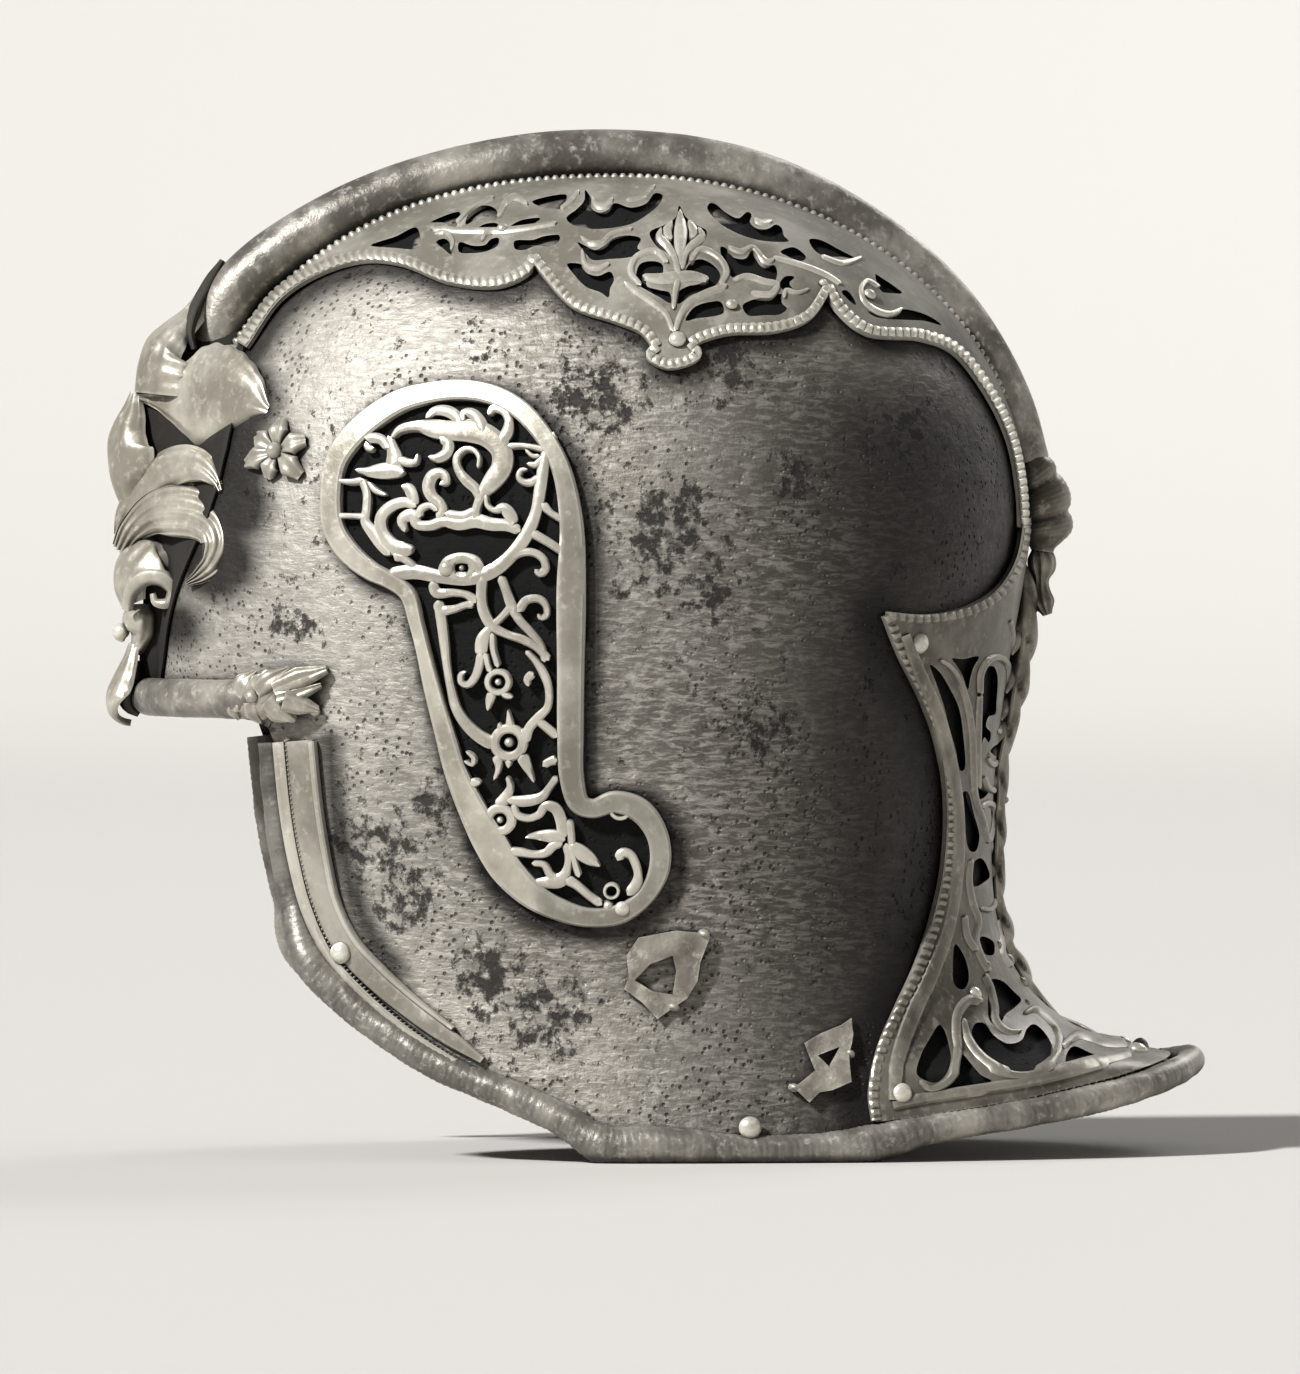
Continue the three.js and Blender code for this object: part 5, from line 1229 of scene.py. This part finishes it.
NAPE_STROKES = [
    [(92.4, 42.6, 1.2), (88.6, 43.4, 1.5), (85.4, 40.4, 1.5), (84.6, 35, 1.4), (85, 30, 1.3), (84, 25, 1.3),
     (81, 21.4, 1.2), (76.6, 19.8, 1.2), (73.6, 22.4, 0.8)],
    [(86.4, 38, 1.3), (88.2, 32.4, 1.3), (91.6, 27.6, 1.3), (97, 24, 1.2), (104, 22.8, 1.2),
     (110, 24.2, 1.2), (114.6, 27.6, 1.2), (115.8, 32.6, 1.2), (113, 37, 1.2), (109.2, 39.4, 1.0),
     (105.4, 38.6, 0.8)],
    [(93.4, 50.5, 1.1), (95.4, 46, 1.2), (96.4, 41, 1.2), (96.8, 37, 1.1), (100, 34, 1.0), (104, 33.6, 0.6)],
    [(116, 29, 1.0), (122, 31.6, 1.1), (130, 29.4, 1.1), (138, 28.6, 1.0)],
    [(79, 141, 0.8), (83, 138, 0.9), (87, 130.6, 1.0), (89.4, 120, 1.0), (90.2, 108, 1.0), (90.8, 102, 0.9),
     (94, 94, 0.9), (95.6, 88, 0.8)],
    [(91.6, 131, 0.8), (91.8, 137, 1.0), (94, 140.4, 1.1), (97.6, 141.4, 1.1), (101.4, 139, 1.1),
     (102.8, 134, 1.1), (102.2, 127, 1.2), (101, 121.4, 1.0), (98.6, 119.4, 0.8)],
    [(91.6, 131, 0.8), (91.4, 122, 0.9), (91.4, 113, 0.9), (91.8, 104, 0.8)],
    [(101.4, 152, 0.9), (103.6, 146, 0.9), (104.6, 139, 0.9), (105.8, 133.4, 1.0), (103.8, 130, 0.8)],
    [(93.4, 107.6, 0.6), (95.2, 104.2, 1.0), (98.8, 103, 1.0), (101, 105.4, 0.9), (99.4, 108.6, 0.8)],
    [(100.2, 111.2, 1.0), (97, 110.6, 1.1), (94.4, 112.6, 0.8)],
    [(92.4, 98.6, 0.8), (95.6, 99.6, 1.0), (98.6, 97.4, 1.1), (98.4, 93, 1.0), (96, 88.4, 0.9)],
    [(99.4, 92, 1.0), (98.6, 86.6, 1.1), (99.8, 81.6, 1.1), (101, 76.6, 1.1), (99.6, 71.6, 1.0),
     (96.4, 69, 0.9), (92, 69.6, 0.8)],
    [(89.6, 84, 0.8), (89, 78, 1.0), (90, 72, 1.1), (92, 66, 1.1), (91, 61, 1.0), (92.6, 55.6, 1.2),
     (95, 51, 1.0)],
    [(87.4, 68, 0.9), (88.2, 62, 1.0), (91, 57.4, 1.0)],
    [(100, 66, 0.9), (101, 61, 1.1), (100.2, 55.4, 1.0), (103, 51.6, 0.9)],
]
nape_outline = [tuple(p) for p in curve(NAPE_LEFT[::-1], 1.5)[0]]
nape_outline += [tuple(p) for p in curve(NAPE_TOP, 1.5)[0][1:]] + [(112, 181), (190, 181), (190, 35)]
nape_outline += [(160, 30.5), (150, 27.6)] + [(y, z - 2.2) for y, z in NAPE_FOOT[3:0:-1]] + [(62, 11.4)]
nape_rows = np.concatenate([np.linspace(8, 34, 30), np.linspace(35.4, 60, 18), np.linspace(62.5, 184, 50)])
nape = pierced(nape_rows, np.linspace(0.28, 0.497, 100), nape_outline, [smooth_loop(h) for h in NAPE_HOLES],
               TOP - 0.5, inner_x=0.6, mark=0.3)
for border, half, high in ((NAPE_LEFT, 1.35, TOP), ([(y, z - 0.2) for y, z in NAPE_TOP], 1.2, TOP + 0.1)):
    nape.ribbon([(y, z, half) for y, z in border], high, spacing=0.55, ripple=milling(2.5, 0.5), bevel=0.5)
nape.ribbon([(68.6, 148, 1.6), (73, 137.4, 2.0), (78.4, 126, 2.1), (82.6, 112, 2.0), (85.2, 98, 1.9),
             (85.2, 82, 2.0), (82.6, 66, 2.2), (77.6, 52, 2.4), (71.6, 39, 2.5), (67.4, 26, 2.2),
             (66.4, 17, 1.6)], TOP, crown=0.5, bevel=0.6)
nape.ribbon([(66, 15.6, 1.5), (75, 17.4, 1.6), (103, 21.2, 1.6), (128, 25.6, 1.3), (137, 26.6, 0.8)], TOP,
            crown=0.4, bevel=0.5)
nape.strokes(NAPE_STROKES, TOP, crown=0.5)
bead_line = curve([(64, 11.6), (75, 12.8), (103, 16.8), (131.4, 22.4), (149, 26.6)], 2.3)[0]
for y, z in bead_line:
    nape.stud(y, z, 0.95, 2.0, around=8, rows=4)
for y, z, radius, tall in NAPE_STUDS:
    nape.stud(y, z, radius, tall)
nape.add(nape.mirrored())
make("nape_plate_look", nape, NAPE, ["nape_plate"])

# ---- Ornament down the back ---------------------------------------------------------------------------
SPINE = middle_line([
    (108.6, 171), (109.6, 162), (109.6, 152), (108.4, 139), (106.4, 130), (105.6, 123.6), (103.6, 116.6),
    (102.2, 109), (102.2, 101), (101.6, 95.4), (101.6, 91), (101.4, 84), (101.4, 76), (101.8, 67.6),
    (103.4, 62), (104.6, 56.6), (107.4, 52.6), (111, 45.6), (116.4, 38.6), (127, 32.8), (135, 30.2),
    (141, 29.6)])
SPINE_WIDE = [1.5, 4, 6, 7, 6, 7.5, 6.5, 6.5, 7.5, 6.5, 7, 7.5, 6.5, 7, 8, 7.5, 7.5, 7, 6, 5, 3.5, 0.8]
SPINE_TALL = [1, 3.4, 5, 4.8, 4.2, 4.6, 3.8, 3.4, 3.8, 3.2, 3.4, 3.5, 3.3, 3.4, 4, 3.6, 3.4, 3, 2.6, 2.4,
              1.8, 0.6]


def leafy(share, angle, line):
    """Overlapping leaves down the ridge: a swell that falls back at each tip, and a fluted side."""
    step = (share * 12 + 0.3 * np.cos(angle * 2)) % 1
    return 0.74 + 0.34 * np.sin(np.pi * step**1.6) ** 0.7 * (1 - 0.25 * step) + 0.05 * np.cos(angle * 7)


spine = Shape()
spine.sweep(SPINE, SPINE_WIDE, SPINE_TALL, sides=40, spacing=0.8, ripple=leafy)
for i in range(2, 14):
    y, z = (SPINE[i][1] + SPINE[i + 1][1]) / 2, (SPINE[i][2] + SPINE[i + 1][2]) / 2
    for side in (1, -1):
        spine.shell([(side * 3, y + 1, z + 3), (side * 6.5, y - 0.5, z), (side * 8.5, y - 3, z - 4)],
                    [1.6, 2.6, 0.6], [1, 1.4, 0.5], hint=(side * 0.7, 0.7, 0), sides=12, spacing=0.7)
spine.blob(np.array([0, 143, 27.2]), np.array([0, 0.2, 0.98]), (3.0, 4.6), around=24, rows=9)
make("nape_spine_look", spine, NAPE, ["nape_spine"])


def bound(share, angle, line):
    """Three slanting cords round the end of the comb, each of fine threads."""
    turns = 3 * share + 0.16 * np.sin(angle)
    return 0.8 + 0.24 * np.abs(np.sin(np.pi * turns)) ** 0.6 + 0.012 * np.cos(turns * 2 * np.pi * 7)


knot = Shape()
knot_line = middle_line([(110.6, 198.8), (111.4, 196.8), (114.2, 190), (115.6, 182), (115.6, 174),
                         (115.2, 171)])
knot.sweep(knot_line, [4.4, 6.6, 7.6, 8, 7.2, 3.6], [4, 6.6, 7.8, 8.4, 7.6, 3.4], sides=40, spacing=0.45,
           ripple=bound)
make("comb_knot_look", knot, NAPE, ["comb_knot"])

tassel = Shape()
tassel_line = middle_line([(114, 173), (114.8, 170), (115.2, 166.6), (115, 163.4), (115, 160), (115.8, 156),
                           (116.8, 152.8)])
tassel.sweep(tassel_line, [1.6, 3.6, 3.8, 2.2, 2.5, 3.0, 1.4], [1.6, 3.8, 4, 2.3, 2.6, 3.1, 1.4], sides=32,
             spacing=0.4, ripple=lambda share, angle, line: 0.93 + 0.1 * np.cos(angle * 8))
make("knot_tassel_look", tassel, NAPE, ["knot_tassel"])

# ---- Brow mount ---------------------------------------------------------------------------------------
# The core under the leaves, near-black as painted shadow of the leaves: height, half width and how far its
# ridge stands forward (y).
CORE = [(133, 8, -143), (141, 13, -142.6), (150, 17, -141.6), (160, 23, -141.6), (170, 30, -142),
        (180, 36, -142), (190, 38, -143.5), (200, 37, -144), (208, 35, -143), (216, 31, -139.5),
        (224, 24, -134.5), (232, 14, -129)]


def painted_shadow_core():
    """The body that fills the space between the leaves and the front of the skull, near-black and widened as
    painted shadow of the leaves.
    """
    rings = []
    across = np.linspace(-1, 1, 33)
    heights, half_widths, ridges = zip(*CORE)
    for z in np.linspace(heights[0], heights[-1], 60):
        ridge = np.interp(z, heights, ridges)
        reach = across * np.interp(z, heights, half_widths)
        share = np.clip(np.abs(reach) / section(z)[2], 0, 1) ** (FRONT_PLAN / 2)
        foot = by_turn(np.sign(reach) * np.arcsin(share) / (2 * np.pi), np.full(reach.shape, z))
        tall = max(foot[len(across) // 2, 1] - ridge, 2.0)
        rise = 0.6 + (tall - 0.6) * np.clip(1 - (np.abs(across) / 0.5) ** 1.4, 0, 1)
        out = skin_normal(foot)
        rings.append(np.vstack([foot + out * (GAP + rise)[:, None], (foot + out * GAP)[::-1]]))
    shape = Shape()
    # Near-black: painted shadow.
    shape.mark = 0.97
    shape.strand(rings)
    return shape


make("mount_core_look", painted_shadow_core(), MOUNT, ["mount_core"])

crest = Shape()
crest_line = middle_line([(-144.5, 216.4), (-143.5, 224.5), (-140.8, 231.9), (-136, 236.3), (-130, 240.7),
                          (-125.3, 246.8), (-119.2, 254.2)])
crest.shell(crest_line, [17, 17.5, 16, 12, 6, 4, 1.4], [13, 13, 11.5, 8, 5.4, 5, 3], thick=2.6, flutes=7,
            groove=0.5, sides=56, spacing=0.8, scallop=0.03)
# A near-black blade inside the curled leaf: painted shade on its hidden inner side.
crest.mark = 0.93
crest_shadow_blade = middle_line([(-127.6, 228.6), (-128.6, 233), (-127.4, 238.6), (-124, 245.4), (-120.9, 251),
                           (-119.2, 254)])
crest.sweep(crest_shadow_blade, [14, 12.6, 9, 5, 3, 1.6], [1.2, 1.9, 2.2, 2.1, 1.8, 0.8], sides=24, spacing=0.8)
make("crest_leaf_look", crest, MOUNT, ["crest_leaf"])

keel = Shape()
keel_line = middle_line([(-145.6, 216.6), (-147.4, 213), (-150.5, 207.7), (-152.2, 202.9), (-152.2, 196.9),
                         (-151.2, 190.8), (-148.9, 184.7)])
keel.shell(keel_line, [4, 9, 13, 15, 15, 13, 9], [3, 7, 10, 12, 12, 10, 7], thick=2.4, flutes=5, groove=0.5,
           sides=56, spacing=0.8)
make("keel_petal_look", keel, MOUNT, ["keel_petal"])

petal = Shape()
petal.shell([(3, -144.4, 215.2), (9, -139.6, 215), (18, -132, 215.2), (27, -125.4, 215.6), (35, -119, 215.2),
             (41, -113.4, 213.6), (44.6, -109.4, 211.6), (45.8, -107.8, 210.8)],
            [1.2, 3.2, 8.6, 14.6, 14.6, 12, 7.4, 1.5], [0.6, 1, 2.6, 5, 6, 5, 3.4, 1], thick=2.0,
            hint=(0.62, -0.78, 0.1), flutes=3, groove=0.45, sides=52, spacing=0.8, scallop=0.02)
make_pair("brow_petal", petal, MOUNT)

upper_horn = Shape()
upper_horn.shell([(3, -148.6, 175), (6, -147, 182), (13, -142, 189.5), (20, -136, 195), (27, -130.5, 196.6),
                  (33.5, -125.5, 195), (38, -122, 191),
                  (39.5, -121, 188.5)], [2.4, 4, 5.2, 6, 6, 5, 3.2, 0.8],
                 [0.8, 1.6, 2.2, 2.8, 2.8, 2.4, 1.4, 0.4], thick=2.6, hint=(0.9, -0.35, 0.25), flutes=3,
                 groove=0.5, sides=40, spacing=0.8)
make_pair("upper_horn", upper_horn, MOUNT)

lower_horn = Shape()
lower_horn.shell([(3, -149, 171), (9, -146, 177), (18, -140.4, 182.3), (27, -133, 183.8),
                  (34, -126.6, 182.4), (40, -122.4, 178.6), (42.6, -121.4, 173.4), (41.4, -123.4, 168.4),
                  (37, -127, 164.6), (31.5, -130.6, 162)], [3, 4.4, 6, 7.6, 8, 7.4, 6.2, 5, 3.2, 1],
                 [1, 2, 2.8, 3.4, 3.6, 3.2, 2.6, 2.2, 1.4, 0.4], thick=2.6, hint=(0.95, -0.2, 0.2), flutes=6,
                 groove=0.75, sides=60, spacing=0.8)
make_pair("lower_horn", lower_horn, MOUNT)

tongue = Shape()
tongue_line = middle_line([(-136, 178.4), (-141, 177.6), (-146.4, 173.6), (-149.9, 167.4), (-150.2, 160.4),
                           (-148, 154.8)])
tongue.shell(tongue_line, [15, 19, 20, 19, 16, 11], [12, 16, 17.5, 15, 10.5, 6], thick=2.6, flutes=9,
             groove=0.6, sides=64, spacing=0.8)
for side in (1, -1):
    volute = [(11, -146.4, 154.6), (14, -145.4, 160), (16.6, -141.4, 163.6), (18, -136.6, 163.4),
              (18, -133.6, 160), (17, -135, 156.4), (16, -138.6, 156.6), (15.6, -139.4, 159)]
    tongue.sweep([(side * x, y, z) for x, y, z in volute], [1.4, 1.9, 2.2, 2.4, 2.4, 2.0, 1.5, 0.9],
                 [1.4, 2, 2.4, 2.6, 2.6, 2, 1.5, 0.9], sides=18, spacing=0.7,
                 ripple=lambda share, angle, line: 0.95 + 0.05 * np.cos(angle * 5))
make("brow_tongue_look", tongue, MOUNT, ["brow_tongue"])

boss = Shape()
boss.sweep(middle_line([(-142.6, 156), (-142.4, 152), (-141.6, 148), (-142.8, 144.6), (-144.4, 142.4)]),
           [7, 10.4, 9.6, 6.6, 5], [3.6, 5.4, 4.8, 3.2, 2.2], sides=40, spacing=0.6,
           ripple=lambda share, angle, line: 0.94 + 0.07 * np.abs(np.cos(angle * 4 + share * 2)))
make("brow_boss_look", boss, MOUNT, ["brow_boss"])

button = Shape()
button.sweep(middle_line([(-147.6, 150.6), (-148, 149.6), (-148.2, 148), (-148, 146.2), (-147.6, 145.2)]),
             [0.6, 2.2, 2.8, 2.2, 0.6], [0.5, 2, 2.5, 2, 0.5], sides=24, spacing=0.3)
make("brow_button_look", button, RIVET, ["brow_button"])

foot_leaf = Shape()
foot_line = middle_line([(-146, 145), (-147.6, 141), (-150, 136.5), (-152.4, 131), (-152.4, 126.5),
                         (-151, 123.6), (-148, 121.6), (-145.6, 121)])
foot_leaf.shell(foot_line, [5, 6.5, 9, 11, 11, 8.6, 5, 1.5], [2.4, 3.6, 5, 5.6, 4.6, 2.4, 1, 0.3], thick=1.6,
                flutes=5, groove=0.5, sides=44, spacing=0.7, scallop=0.03)
# A near-black filler under the leaf: painted shade in its hollow.
foot_leaf.mark = 0.9
foot_leaf.sweep(middle_line([(-143.6, 140), (-145.4, 136), (-146.6, 130), (-145.4, 126.4), (-143, 124.6)]),
                [4, 7.4, 8.4, 6, 3], [1.5, 3.2, 3.4, 2.4, 1], sides=24)
make("foot_leaf_look", foot_leaf, MOUNT, ["foot_leaf"])

# ---- Brow leaf clasps, rosettes and cheek bands -------------------------------------------------------
clasp = Shape()
for path, half, depth in (
        ([(-113.4, 129.4, 8), (-106, 130.6, 8.6), (-98, 131.4, 5)], [5.2, 6.6, 3.4], 3.2),
        ([(-111, 131, 8.8), (-109.6, 135, 8.4), (-108, 138, 5)], [3.2, 3.4, 0.8], 1.8),
        ([(-106, 132.6, 9), (-103, 135.6, 8), (-100, 138.6, 4)], [3.2, 3.4, 0.9], 1.8),
        ([(-102, 133, 8), (-97, 135.6, 6.4), (-90.6, 138.4, 2.6)], [2.8, 3.4, 1.2], 1.8),
        ([(-101, 130.6, 8), (-96, 132.2, 5.4), (-92, 134, 2.6)], [2.4, 2.4, 0.8], 1.4),
        ([(-111.6, 129, 8.6), (-112.4, 126.6, 8.4), (-112, 123.8, 6)], [3, 3, 0.8], 1.6),
        ([(-107.6, 129, 9), (-107.4, 126, 8.6), (-106.4, 123, 6)], [3.2, 3.2, 0.8], 1.6),
        ([(-99, 129.6, 8.4), (-95.6, 128, 5.4), (-92.6, 126.6, 2.6)], [3.4, 3, 0.9], 1.6),
        ([(-103.4, 129.4, 8.8), (-101.4, 126.2, 7), (-98.6, 123.4, 3.4)], [3.6, 3.8, 0.9], 1.8)):
    clasp.lobe(path, half, [depth] * 3, thick=1.8, flutes=3, groove=0.5)
clasp.stud(-107, 130.8, 1.9, 2.2, lift=8.2, around=16, rows=7)
clasp.stud(-94.6, 126.4, 1.6, 2.0, around=14)
make_pair("brow_leaf", clasp, MOUNT)

rosette = Shape()
rosette.mark = 0.22
ROSE_Y, ROSE_Z = -104.4, 199.0
for degrees, reach in ((24, 8.6), (82, 9.6), (140, 7.4), (200, 9.4), (250, 8.2), (312, 9.4)):
    c, s = math.cos(math.radians(degrees)), math.sin(math.radians(degrees))
    path = [(ROSE_Y + c * far, ROSE_Z + s * far, tall) for far, tall in
            ((1.5, 2.2), (reach * 0.6, 3.6), (reach, 1.6))]
    rosette.lobe(path, [1.4, 3.4, 1.6], [0.8, 1.4, 0.8], thick=1.5, flutes=2, groove=0.6)
rosette.stud(ROSE_Y, ROSE_Z, 2.4, 3.0, lift=2.0, around=18, rows=7)
make_pair("rosette", rosette, MOUNT)

LIP = [(-103.8, 117.6), (-102, 99.4), (-99.6, 85), (-96, 71), (-90, 57.6), (-80.4, 46.4), (-68, 35.6),
       (-55.6, 27.4)]
CHEEK_STRIP = [(-98.8, 118, 3.9), (-97.2, 100, 4), (-95, 86, 4), (-91.4, 72.6, 3.8), (-85.8, 60.6, 3.4),
               (-77.6, 51, 2.8), (-67, 42, 2.6), (-57, 34.6, 2.2), (-48, 28.4, 1)]
CHEEK_THREAD = [(-95, 118, 0.8), (-93.2, 100, 0.8), (-91, 86, 0.8), (-88, 72.6, 0.8), (-82.8, 62, 0.8),
                (-75.4, 53.8, 0.8), (-65.6, 44.8, 0.7), (-56, 37.2, 0.6)]
band = Shape()
band.ribbon([(y, z, 1.5) for y, z in LIP], TOP + 0.1, crown=0.3, bevel=0.5)
band.mark = 0.3
band.ribbon(CHEEK_STRIP, TOP - 0.9, crown=0.2, bevel=0.4)
band.mark = 0.12
band.ribbon(CHEEK_THREAD, TOP - 0.3, crown=0.3, bevel=0.3)
for y, z in curve([(y + 1.9, z + 0.4) for y, z in LIP], 1.35)[0]:
    band.stud(y, z, 0.5, 2.2, around=8, rows=4)
make_pair("cheek_band", band, MOUNT)

# ---- Torn remnants of lost mounts ---------------------------------------------------------------------
TORN_FRONT = [(-4.9, 63.1), (5.7, 65.1), (13.4, 64.3), (15.1, 63.2), (12.3, 56.3), (11.6, 51), (8.6, 46),
              (5, 43.6), (0.3, 40.3), (-4, 45), (-8.9, 48.6), (-7.6, 52), (-8.3, 58)]
TORN_FRONT_HOLE = [(4.6, 58), (5.7, 53.7), (4.6, 47.1), (-0.9, 48), (-6, 51.1), (-1.7, 55.7)]
TORN_BACK = [(55.4, 40.3), (55.7, 36), (54.2, 30), (54.9, 22.6), (49.4, 20.3), (45.7, 19.7), (42.9, 16.9),
             (38.6, 20.9), (44.6, 25.7), (41.7, 33.4), (46.3, 36), (52.3, 38.3)]
TORN_BACK_HOLE = [(45.4, 30), (51.7, 32.3), (48.6, 26.9)]
for torn_name, outline, hole, centre in (("torn_mount_front", TORN_FRONT, TORN_FRONT_HOLE, (2, 53)),
                                         ("torn_mount_back", TORN_BACK, TORN_BACK_HOLE, (48, 29))):
    heights = np.linspace(centre[1] - 16, centre[1] + 16, 34)
    torn = pierced(heights, np.linspace(0.2, 0.36, 80), outline, [hole], GAP + 1.7, inner_x=20)
    flat = torn.points[0]
    lift = np.array([noise.noise(Vector((p[1] / 5, p[2] / 5, 1.7))) for p in flat])
    high_side = np.linalg.norm(flat - on_side(flat[:, 1], flat[:, 2]), axis=1) > GAP + 0.9
    torn.points[0] = flat + skin_normal(flat) * (lift * 0.9 * high_side)[:, None]
    for y, z in (outline[2], outline[7]):
        torn.stud(y, z, 1.8, 2.6, around=9, rows=5, squash=0.7)
    make(torn_name + "_look", torn, TORN, [torn_name], 30)

# ---- Rivets -------------------------------------------------------------------------------------------
# Heads on both sides: y, z and radius.
RIVETS = {
    "cheek_rivet": (-86.6, 58.4, 3.1), "nape_upper_rivet": (73.2, 145.6, 3.0),
    "nape_lower_rivet": (68.6, 18.8, 3.0), "nape_middle_rivet": (90.6, 45, 2.2),
    "crown_rivet": (6, 229.6, 2.4), "plaque_upper_rivet": (-58.2, 166.4, 2.2),
    "plaque_lower_rivet": (-9.4, 71.4, 2.2), "tail_rivet": (140, 27, 3.0), "rim_rivet": (26, 9.6, 3.2),
}
for rivet_name, (y, z, radius) in RIVETS.items():
    rivet = Shape()
    rivet.stud(y, z, radius, radius * 0.72, lift=TOP - 0.6, around=28, rows=9)
    make_pair(rivet_name, rivet, RIVET)

# ---- Carried-over pieces ------------------------------------------------------------------------------
for node_name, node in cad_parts.items():
    if node.hide_render:
        continue
    material = RIVET if "rivet" in node_name or node_name == "brow_button" else MOUNT
    if node_name.startswith("torn"):
        material = TORN
    if node_name in ("nape_spine", "comb_knot", "knot_tassel"):
        material = NAPE
    for old in node.material_slots:
        old.material = material

# ---- Floor, light and camera --------------------------------------------------------------------------
FLOOR_RADIUS, COVE_RADIUS, WALL_TOP = 7.5, 2.5, 5.0
PAPER = (0.5, 0.487, 0.465)
KEY_TOWARD, KEY_STRENGTH, KEY_SPREAD = (0.43, -0.62, 0.66), 5.2, 6
FAR_TOWARD, FAR_STRENGTH, FAR_SPREAD = (-0.7, 0.45, 0.55), 0.8, 24
SKY_COLOR, SKY_STRENGTH, EXPOSURE = (1.0, 0.985, 0.96, 1), 0.17, 0.12


def backdrop():
    """A round pale floor that sweeps up into a low wall far outside the cameras."""
    steps = [(2.0, 0.0), (FLOOR_RADIUS, 0.0)]
    steps += [(FLOOR_RADIUS + COVE_RADIUS * math.sin(a), COVE_RADIUS - COVE_RADIUS * math.cos(a))
              for a in np.linspace(0.15, math.pi / 2, 10)]
    steps += [(FLOOR_RADIUS + COVE_RADIUS, WALL_TOP)]
    around = 72
    points, faces = [(0, 0, 0)], []
    for r, z in steps:
        points += [(r * math.cos(2 * math.pi * j / around), r * math.sin(2 * math.pi * j / around), z)
                   for j in range(around)]
    for j in range(around):
        k = (j + 1) % around
        faces.append((0, 1 + j, 1 + k))
        for i in range(len(steps) - 1):
            a, b = 1 + i * around, 1 + (i + 1) * around
            faces.append((a + j, b + j, b + k, a + k))
    mesh = bpy.data.meshes.new("backdrop")
    mesh.from_pydata(points, [], faces)
    mesh.shade_smooth()
    floor = new_object("backdrop", mesh)
    mesh.materials.append(Tree("paper").close(PAPER, 0.95, 0.0))
    floor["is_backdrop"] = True


def aim(thing, away):
    """Turns a lamp or camera to look back along the direction it stands in."""
    thing.rotation_mode = "QUATERNION"
    thing.rotation_quaternion = (-away).to_track_quat("-Z", "Y")


def sun_light(name, toward, strength, spread):
    data = bpy.data.lights.new(name, "SUN")
    data.energy, data.angle = strength, math.radians(spread)
    aim(new_object(name, data), Vector(toward))


backdrop()
sun_light("key", KEY_TOWARD, KEY_STRENGTH, KEY_SPREAD)
sun_light("far_side", FAR_TOWARD, FAR_STRENGTH, FAR_SPREAD)

world = bpy.data.worlds.new("studio")
bpy.context.scene.world = world
world.use_nodes = True
world.node_tree.nodes["Background"].inputs["Color"].default_value = SKY_COLOR
world.node_tree.nodes["Background"].inputs["Strength"].default_value = SKY_STRENGTH

# Seen from the wearer's left, a little ahead of square and a little above, with a long lens.
VIEW_AZIMUTH, VIEW_RISE, VIEW_DISTANCE = 87.0, 0.7, 4.4
VIEW_HEIGHT = 0.3926  # height of the whole image at the helmet
SENSOR = 36
LOOK_AT = Vector((0.0, (2.9 + SHIFT_Y) / 1000, 0.1322))
camera_data = bpy.data.cameras.new("camera")
camera_data.sensor_width = SENSOR
camera_data.lens = SENSOR * VIEW_DISTANCE / VIEW_HEIGHT
camera = new_object("camera", camera_data)
azimuth, rise = math.radians(VIEW_AZIMUTH), math.radians(VIEW_RISE)
away = Vector((math.sin(azimuth) * math.cos(rise), -math.cos(azimuth) * math.cos(rise), math.sin(rise)))
camera.location = LOOK_AT + away * VIEW_DISTANCE
aim(camera, away)
bpy.context.scene.camera = camera
bpy.context.scene.view_settings.view_transform = "Standard"
bpy.context.scene.view_settings.exposure = EXPOSURE

low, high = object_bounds()
